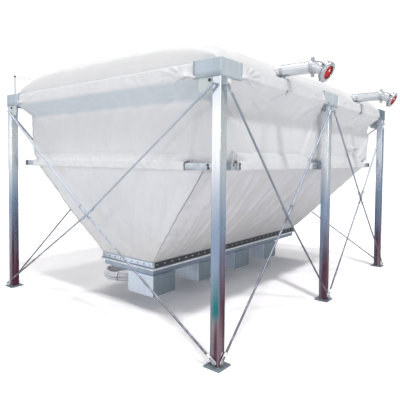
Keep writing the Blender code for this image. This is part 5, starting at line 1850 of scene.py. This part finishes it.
def make_corner_rod():
    x, y = -HALF_X + 0.075, HALF_Y - 0.045
    bm = bmesh.new()
    turned(bm, [(0, 0.011), (0.004, 0.011), (0.005, 0.0095), (0.012, 0.0095),
                (0.013, 0.0052), (0.2400, 0.0050), (0.2420, 0.0050)],
           (x, y, HEAD_TOP + 0.0003), (0, 0, 1), 16)
    obj = add("corner_rod_stem", finish_bm(bm, "corner_rod_stem"), GALV_ROD)
    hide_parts("corner_rod")
    bm = bmesh.new()
    turned(bm, [(0, 0.0055), (0.003, 0.0105), (0.009, 0.0133), (0.015, 0.0133),
                (0.021, 0.0100), (0.0240, 0.0)], (x, y, 2.738), (0, 0, 1), 24)
    add("corner_rod_knob", finish_bm(bm, "corner_rod_knob"), CAP_DARK)


BRIGHT = galvanised("bright_zinc", (0.86, 0.88, 0.90), (0.74, 0.77, 0.80),
                    rough=(0.28, 0.40), spangle=70.0, metallic=0.70)
LIGHT_ZINC = galvanised("light_zinc", (0.58, 0.63, 0.62), (0.50, 0.55, 0.55),
                        rough=(0.40, 0.52), spangle=50.0, metallic=0.40, streak=0.3)
# the posts' tones are painted reflection and shade: near white above, darker and bluer lower down, darkest at the
# foot, the faces that look along y shaded; the far post is a darker copy
POST_ZINC = dict(low_painted_shade=(0.120, 0.105, 0.150), low_long_painted_shade=(0.125, 0.036, 0.064),
                 long_face_painted_shading=(0.80, 0.84, 0.83), rough=(0.24, 0.32), spangle=16.0,
                 metallic=0.88, z_range=(0.45, 1.05), streak=0.7, flake=0.03,
                 mid_painted_shade=(0.36, 0.45, 0.60))
GALV_POST = galvanised("post_zinc", (0.98, 0.99, 1.0), (0.84, 0.87, 0.91), patch="red",
                       **POST_ZINC)
GALV_POST_NEAR = galvanised("post_zinc_teal", (0.98, 0.99, 1.0), (0.84, 0.87, 0.91),
                            patch="teal", **POST_ZINC)
GALV_POST_FAR_SHADED = galvanised("post_zinc_far_shaded", (0.86, 0.90, 0.94), (0.72, 0.77, 0.83),
                           patch="red", **{**POST_ZINC, "long_face_painted_shading": (0.36, 0.44, 0.60)})
# heads: painted light on the faces that look along y; the far head's darker copy is painted shade
GALV_HEAD = galvanised("head_zinc", (0.48, 0.55, 0.61), (0.40, 0.465, 0.53),
                       rough=(0.36, 0.50), spangle=34.0, metallic=0.62, streak=0.4,
                       long_face_painted_shading=(1.42, 1.36, 1.30), flake=0.06)
HEAD_SHADED = galvanised("head_zinc_shaded", (0.24, 0.36, 0.41), (0.18, 0.28, 0.33),
                       rough=(0.36, 0.50), spangle=34.0, metallic=0.62, streak=0.4,
                       long_face_painted_shading=(0.80, 0.84, 0.88), flake=0.06)
PLATE_STEEL = galvanised("plate_zinc", (0.26, 0.32, 0.35), (0.16, 0.20, 0.23),
                         rough=(0.36, 0.50), spangle=34.0, metallic=0.70, streak=0.4)
# outlet boxes and end clamp bars: light, with painted shade on the faces that look along y
BOX_STEEL = galvanised("box_sheet", (0.80, 0.88, 1.0), (0.68, 0.77, 0.90),
                       rough=(0.26, 0.40), spangle=24.0, metallic=0.80,
                       long_face_painted_shading=(0.31, 0.35, 0.36), streak=0.6, flake=0.06)
ALU_DULL = galvanised("aluminium_dull", (0.60, 0.63, 0.66), (0.44, 0.47, 0.51),
                      rough=(0.34, 0.48), spangle=120.0, metallic=0.80, streak=0.2)
ALU_CAST = galvanised("aluminium_cast", (0.66, 0.68, 0.73), (0.54, 0.56, 0.62),
                      rough=(0.22, 0.32), spangle=30.0, metallic=0.92, streak=0.1,
                      flake=0.05)
RING_CAP = plastic("ring_end_cap", (0.13, 0.145, 0.175), (0.085, 0.095, 0.12), (0.4, 0.55), 20.0)
RING_PLATE = galvanised("ring_end_plate", (0.34, 0.39, 0.47), (0.28, 0.33, 0.40),
                        rough=(0.40, 0.50), spangle=20.0, metallic=0.4, streak=0.2)
CATCH = galvanised("catches", (0.10, 0.12, 0.15), (0.05, 0.06, 0.08),
                   rough=(0.34, 0.50), spangle=160.0, metallic=0.6)
WEBBING = plastic("webbing", (0.66, 0.66, 0.68), (0.52, 0.52, 0.54), (0.6, 0.8), 40.0)
STRAP = galvanised("strap_steel", (0.46, 0.50, 0.58), (0.38, 0.42, 0.49),
                   rough=(0.50, 0.60), spangle=20.0, metallic=0.15, streak=0.2)
# black rubber for the coupling seals; on the trough's long sides the same black is painted shade
RUBBER_AND_SHADE = plastic("rubber_and_shade", (0.055, 0.060, 0.070), (0.028, 0.030, 0.036), (0.5, 0.7), 60.0)
CAP_DARK = plastic("black_plastic", (0.050, 0.055, 0.065), (0.025, 0.028, 0.034),
                   (0.35, 0.5), 60.0)
WHITE = plastic("white_plastic", (0.82, 0.82, 0.80), (0.70, 0.70, 0.69), (0.3, 0.45), 40.0)

make_posts()
brace_hardware()
make_rings()
make_trough()
make_boxes()
make_pipes()
make_corner_rod()
hose_length = make_hose_piece()
print("hose", hose_length)


# ------------------------------------------------------------------ pockets
# Flaps sewn to the walls hang over the ring tubes and hold them.
POCKET_KEYS = [(0.0525, 1.7780), (0.0545, 1.7640), (0.0585, 1.7380), (0.0630, 1.7080),
               (0.0672, 1.6820), (0.0692, 1.6660), (0.0688, 1.6480), (0.0682, 1.6250),
               (0.0680, 1.6060), (0.0655, 1.5955), (0.0560, 1.5925), (0.0300, 1.5930),
               (0.0040, 1.5950)]


def pocket(name, k, c0, c1, seed):
    run = smooth_line([(o, 0.0, z) for o, z in POCKET_KEYS], 34)
    o = np.array([p.x for p in run])[:, None]
    z = np.array([p.z for p in run])[:, None]
    n = int((c1 - c0) / 0.0115)
    f = np.linspace(0, 1, n + 1)[None, :]
    # the cut ends slant: the top reaches a little further
    slant = 0.030 * step(1.665, 1.765, z) + 0.006 * noise(z * 40, z * 0 + seed, 101)
    left, right = c0 - slant, c1 + slant
    c = left + (right - left) * f
    zz, oo = z + 0 * c, o + 0 * c
    face = step(1.5935, 1.612, zz) * (1 - step(1.752, 1.776, zz))
    strong = 0.45 + 0.55 * step(-0.15, 0.45, noise(c * 1.7 + seed, zz * 0, 102))
    lean = 0.85 * np.sign(noise(c * 1.3 + seed, zz * 0, 103) + 0.2)
    diag = c + lean * (zz - 1.69)
    d = face * strong * 0.0095 * (ridge(diag * 9.0, zz * 1.5 + seed, 104, 2.2) - 0.42)
    d += face * 0.0050 * (ridge(diag * 19.0, zz * 3.0 + seed, 105, 2.0) - 0.42)
    d += face * 0.0018 * noise(c * 33, zz * 26, 106)
    d -= face * step(1.655, 1.70, zz) * 0.006
    # the ends lift a little
    edge = np.minimum(c - left, right - c)
    d += face * 0.0010 * np.exp(-(edge / 0.025) ** 2)
    base = WALL_Y if k % 2 == 0 else WALL_X
    hug = np.exp(-(np.clip(edge, 0, 1) / 0.11) ** 2) * step(1.660, 1.680, zz)
    wall_at = np.interp(zz, [z1 for z1, o1 in WALL_KEYS[:8]], [o1 for z1, o1 in WALL_KEYS[:8]])
    oo = oo - hug * np.clip(oo - wall_at - 0.006, 0, 1)
    d = d * (1 - hug * 0.7)
    # the upper edge is sewn flat to the wall
    sewn = step(1.738, 1.768, zz)
    oo = oo * (1 - sewn) + (wall_at - 0.009) * sewn
    # on the tube the cloth can't sink into it
    on_tube = step(1.655, 1.665, zz) * 0 + ((zz < 1.662) & (zz > 1.598))
    d = np.where(on_tube > 0, np.maximum(d, -0.0042), d)
    low = 0.0045 * noise(c * 7 + seed, c * 0, 107) + 0.002 * noise(c * 23, c * 0, 108)
    z_new = zz + np.where(zz < 1.62, low * (1 - step(1.595, 1.62, zz)) * 0.6, 0)
    oo = oo + 0 * c
    xy = (ALONG[k][None, None] * c[..., None] + OUT[k][None, None]
          * (base + oo + d)[..., None])
    pts = np.concatenate([xy, z_new[..., None]], -1)
    lengths = np.concatenate([[0], np.cumsum(np.hypot(np.diff(o[:, 0]), np.diff(z[:, 0])))])
    uv = np.stack([c, np.broadcast_to(-lengths[:, None], c.shape)], -1)
    mesh = grid_mesh(name, pts[::-1], uv[::-1])
    obj = add(name, mesh, BAG_POCKET)
    shell(obj, 0.0016, -1.0)
    return obj


def stitches(bm, points, out, size=0.0016, gap=0.030):
    """A row of stitches on a line, raised by their thread."""
    pts = [Vector(p) for p in points]
    out = Vector(out)
    carry = 0.0
    for a, b in zip(pts, pts[1:]):
        length = (b - a).length
        at = carry
        while at < length:
            p = a.lerp(b, at / length) + out * 0.0008
            q = a.lerp(b, min(1.0, (at + gap * 0.62) / length)) + out * 0.0008
            if (q - p).length > gap * 0.3:
                tube(bm, [p, (p + q) / 2 + out * size, q], size, 5)
            at += gap
        carry = at - length


def make_pockets():
    pocket("bag_pocket_left", 3, -1.36, 1.235, 1)
    pocket("bag_pocket_right", 1, -1.235, 1.36, 2)
    pocket("bag_pocket_front_left", 0, -1.665, -0.165, 3)
    pocket("bag_pocket_front_right", 0, 0.165, 1.665, 4)
    pocket("bag_pocket_back_left", 2, 0.165, 1.665, 5)
    pocket("bag_pocket_back_right", 2, -1.665, -0.165, 6)
    # webbing loops on the front and back tubes, near their ends
    rows = []
    bm = bmesh.new()
    for sx in (-1, 1):
        for sy in (-1, 1):
            for xb, xt in ((1.790, 1.757), (1.700, 1.763)):
                line = smooth_line([(xt, -1.5905, 1.768), (xt + (xb - xt) * 0.22, -1.6035, 1.742),
                                    (xt + (xb - xt) * 0.8, -1.6085, 1.690),
                                    (xb, -1.6075, 1.660), (xb, -1.6060, 1.630),
                                    (xb, -1.6055, 1.602), (xb, -1.590, 1.5965),
                                    (xb, -1.552, 1.5965)], 28)
                q = None
                for p in line:
                    p = Vector((sx * p.x, -sy * p.y if sy > 0 else p.y, p.z))
                    if sy > 0:
                        p.y = abs(p.y)
                    w = Vector((0.0085, 0, 0))
                    t = Vector((0, -sy * 0.0016, 0))
                    ring = [bm.verts.new(p - w), bm.verts.new(p + w),
                            bm.verts.new(p + w + t), bm.verts.new(p - w + t)]
                    if q:
                        for i in range(4):
                            j = (i + 1) % 4
                            bm.faces.new((q[i], q[j], ring[j], ring[i]))
                    else:
                        bm.faces.new(list(reversed(ring)))
                    q = ring
                bm.faces.new(q)
    add("ring_straps", finish_bm(bm, "ring_straps"), WEBBING)
    # the tied port in the front wall: a gathered tuft and its cord
    bm = bmesh.new()
    base_y = -(WALL_Y + 0.010)
    root = Vector((0.995, base_y, 1.872))
    t = np.linspace(0, 1, 44)[:, None]
    a = np.linspace(0, 2 * math.pi, 121)[None, :]
    pleat = ridge(a * 1.75 + 0.8 * np.sin(a), t * 0.7, 131, 2.2)
    pleat = pleat * 0.5 + 0.5 * np.cos(a * 8 + 2.0 * np.sin(a * 2))
    tie = np.exp(-((t - 0.80) / 0.055) ** 2)
    rad = np.interp(t, [0, 0.10, 0.30, 0.55, 0.72, 0.80, 0.88, 0.96, 1.0],
                    [0.072, 0.060, 0.053, 0.047, 0.026, 0.0135, 0.024, 0.034, 0.033])
    rad = rad * (1 + 0.13 * pleat * (1 - tie) * (0.45 + 0.8 * t))
    yy = root.y - 0.178 * t - 0.010 * pleat * (t > 0.9) * (t - 0.9) / 0.1
    sag = -0.020 * t ** 2
    pts = np.stack([root.x + 1.05 * rad * np.cos(a), yy + 0 * a,
                    root.z + sag + rad * np.sin(a)], -1)
    mesh = grid_mesh("port_sleeve", pts[:, :-1],
                     np.stack([a[:, :-1] * 0.05 + 0 * t, yy[:, :-1] + 0 * a[:, :-1]], -1),
                     close=True)
    add("port_sleeve", mesh, BAG)
    bm.free()
    bm = bmesh.new()
    centre = Vector((root.x, root.y - 0.178 * 0.80, root.z - 0.020 * 0.64))
    for off in (-0.0042, 0.0005, 0.0052):
        loop = [centre + Vector((math.cos(w) * 0.0160, off, math.sin(w) * 0.0155))
                for w in (2 * math.pi * i / 20 for i in range(21))]
        tube(bm, loop, 0.0026, 8)
    tail = smooth_line([loop[14], loop[14] + Vector((0.008, -0.008, -0.022)),
                        loop[14] + Vector((0.004, -0.006, -0.060)),
                        loop[14] + Vector((0.006, -0.004, -0.090))], 14)
    tube(bm, tail, 0.0024, 7, round_ends=True)
    tail = smooth_line([loop[12], loop[12] + Vector((-0.014, -0.006, -0.014)),
                        loop[12] + Vector((-0.018, -0.003, -0.050)),
                        loop[12] + Vector((-0.014, 0.002, -0.072))], 12)
    tube(bm, tail, 0.0024, 7, round_ends=True)
    add("port_cord", finish_bm(bm, "port_cord"), CORD)


BAG_POCKET = fabric("bag_fabric_pocket", (0.71, 0.715, 0.735), (0.65, 0.655, 0.68))
make_pockets()


# ------------------------------------------------------------------ stage
def make_stage():
    bm = bmesh.new()
    bmesh.ops.create_circle(bm, cap_ends=True, segments=96, radius=60.0)
    mesh = bpy.data.meshes.new("floor")
    bm.to_mesh(mesh)
    bm.free()
    n = Nodes("floor")
    soft = n.noise(0.8, 3, 0.5)
    white = n.ramp(soft, [(0.0, (0.92, 0.915, 0.92)), (1.0, (0.93, 0.925, 0.93))])
    # seen directly, the floor is burnt out to white as in a studio picture
    seen = n.node("LightPath")
    white = n.mix(seen.outputs["Is Glossy Ray"], white, (0.62, 0.62, 0.63))
    n.set("Base Color", n.mix(seen.outputs["Is Camera Ray"], white, (1.18, 1.165, 1.18)))
    n.set("Roughness", 0.85)
    n.set("Specular IOR Level", 0.10)
    mesh.materials.append(n.mat)
    floor = bpy.data.objects.new("floor", mesh)
    floor.location.z = -0.0006
    SCENE.collection.objects.link(floor)

    # a white studio: the backdrop is white, and its light is brighter above
    # and at the left than on the right
    world = bpy.data.worlds.new("studio")
    world.use_nodes = True
    tree = world.node_tree
    back = tree.nodes["Background"]
    coord = tree.nodes.new("ShaderNodeTexCoord")

    def lobe(way, low, high, value):
        dot = tree.nodes.new("ShaderNodeVectorMath")
        dot.operation = "DOT_PRODUCT"
        dot.inputs[1].default_value = Vector(way).normalized()
        tree.links.new(coord.outputs["Generated"], dot.inputs[0])
        span = tree.nodes.new("ShaderNodeMapRange")
        span.interpolation_type = "SMOOTHSTEP"
        tree.links.new(dot.outputs["Value"], span.inputs["Value"])
        for name, v in (("From Min", low), ("From Max", high),
                        ("To Min", 0.0), ("To Max", value)):
            span.inputs[name].default_value = v
        return span.outputs["Result"]

    def total(socks, start):
        out = None
        for s in socks:
            a = tree.nodes.new("ShaderNodeMath")
            a.operation = "ADD"
            tree.links.new(s, a.inputs[0])
            if out is None:
                a.inputs[1].default_value = start
            else:
                tree.links.new(out, a.inputs[1])
            out = a.outputs[0]
        return out

    light = total([lobe((0, 0, 1), 0.0, 0.9, 0.10),
                   lobe((-0.77, 0.62, 0.15), 0.80, 0.98, 1.20),
                   lobe((-0.2, -1, 0.3), 0.5, 0.95, 0.10),
                   lobe((1, -0.50, 0), 0.55, 0.95, -0.12),
                   lobe((-1, 0.15, 0), 0.93, 0.995, -0.10)], 0.13)
    # what the metal mirrors is a brighter room than what lights it
    mirror = total([lobe((0, 0, 1), 0.1, 0.9, 0.30),
                    lobe((-0.77, 0.62, 0.10), 0.78, 0.97, 0.78),
                    lobe((0.75, -0.66, 0), 0.80, 0.98, 0.03),
                    lobe((0.6, 0.8, 0), 0.6, 0.95, 0.15)], 0.52)
    back.inputs["Strength"].default_value = 1.0
    tree.links.new(light, back.inputs["Color"])
    room = tree.nodes.new("ShaderNodeBackground")
    tree.links.new(mirror, room.inputs["Color"])
    plain = tree.nodes.new("ShaderNodeBackground")
    plain.inputs["Color"].default_value = (1.0, 1.0, 1.0, 1)
    plain.inputs["Strength"].default_value = 1.05
    path = tree.nodes.new("ShaderNodeLightPath")
    first = tree.nodes.new("ShaderNodeMixShader")
    tree.links.new(path.outputs["Is Glossy Ray"], first.inputs["Fac"])
    tree.links.new(back.outputs[0], first.inputs[1])
    tree.links.new(room.outputs[0], first.inputs[2])
    mix = tree.nodes.new("ShaderNodeMixShader")
    tree.links.new(path.outputs["Is Camera Ray"], mix.inputs["Fac"])
    tree.links.new(first.outputs[0], mix.inputs[1])
    tree.links.new(plain.outputs[0], mix.inputs[2])
    tree.links.new(mix.outputs[0], tree.nodes["World Output"].inputs["Surface"])
    SCENE.world = world

    def sun(name, way, strength, angle, colour=(1, 1, 1)):
        light = bpy.data.lights.new(name, "SUN")
        light.energy = strength
        light.angle = math.radians(angle)
        light.color = colour
        obj = bpy.data.objects.new(name, light)
        obj.rotation_euler = Vector(way).to_track_quat("-Z", "Y").to_euler()
        obj.location = (-4, -3, 6)
        SCENE.collection.objects.link(obj)
        return obj

    sun("overhead", (0.05, 0.10, -1.0), 0.55, 8)
    sun("front_left", (0.216, 0.440, -0.857), 1.35, 5.0)
    sun("front_right", (-0.19, 0.42, -0.857), 0.48, 5)
    sun("back_left", (0.218, -0.467, -0.857), 0.55, 5)
    sun("back_right", (-0.22, -0.440, -0.857), 0.35, 6)
    sun("rake", (0.93, 0.42, -0.22), 0.58, 12)
    sun("front_low", (0.25, 0.95, -0.20), 0.34, 24)


make_stage()
SCENE.view_settings.view_transform = "Standard"
SCENE.view_settings.look = "None"
SCENE.view_settings.exposure = 0.0
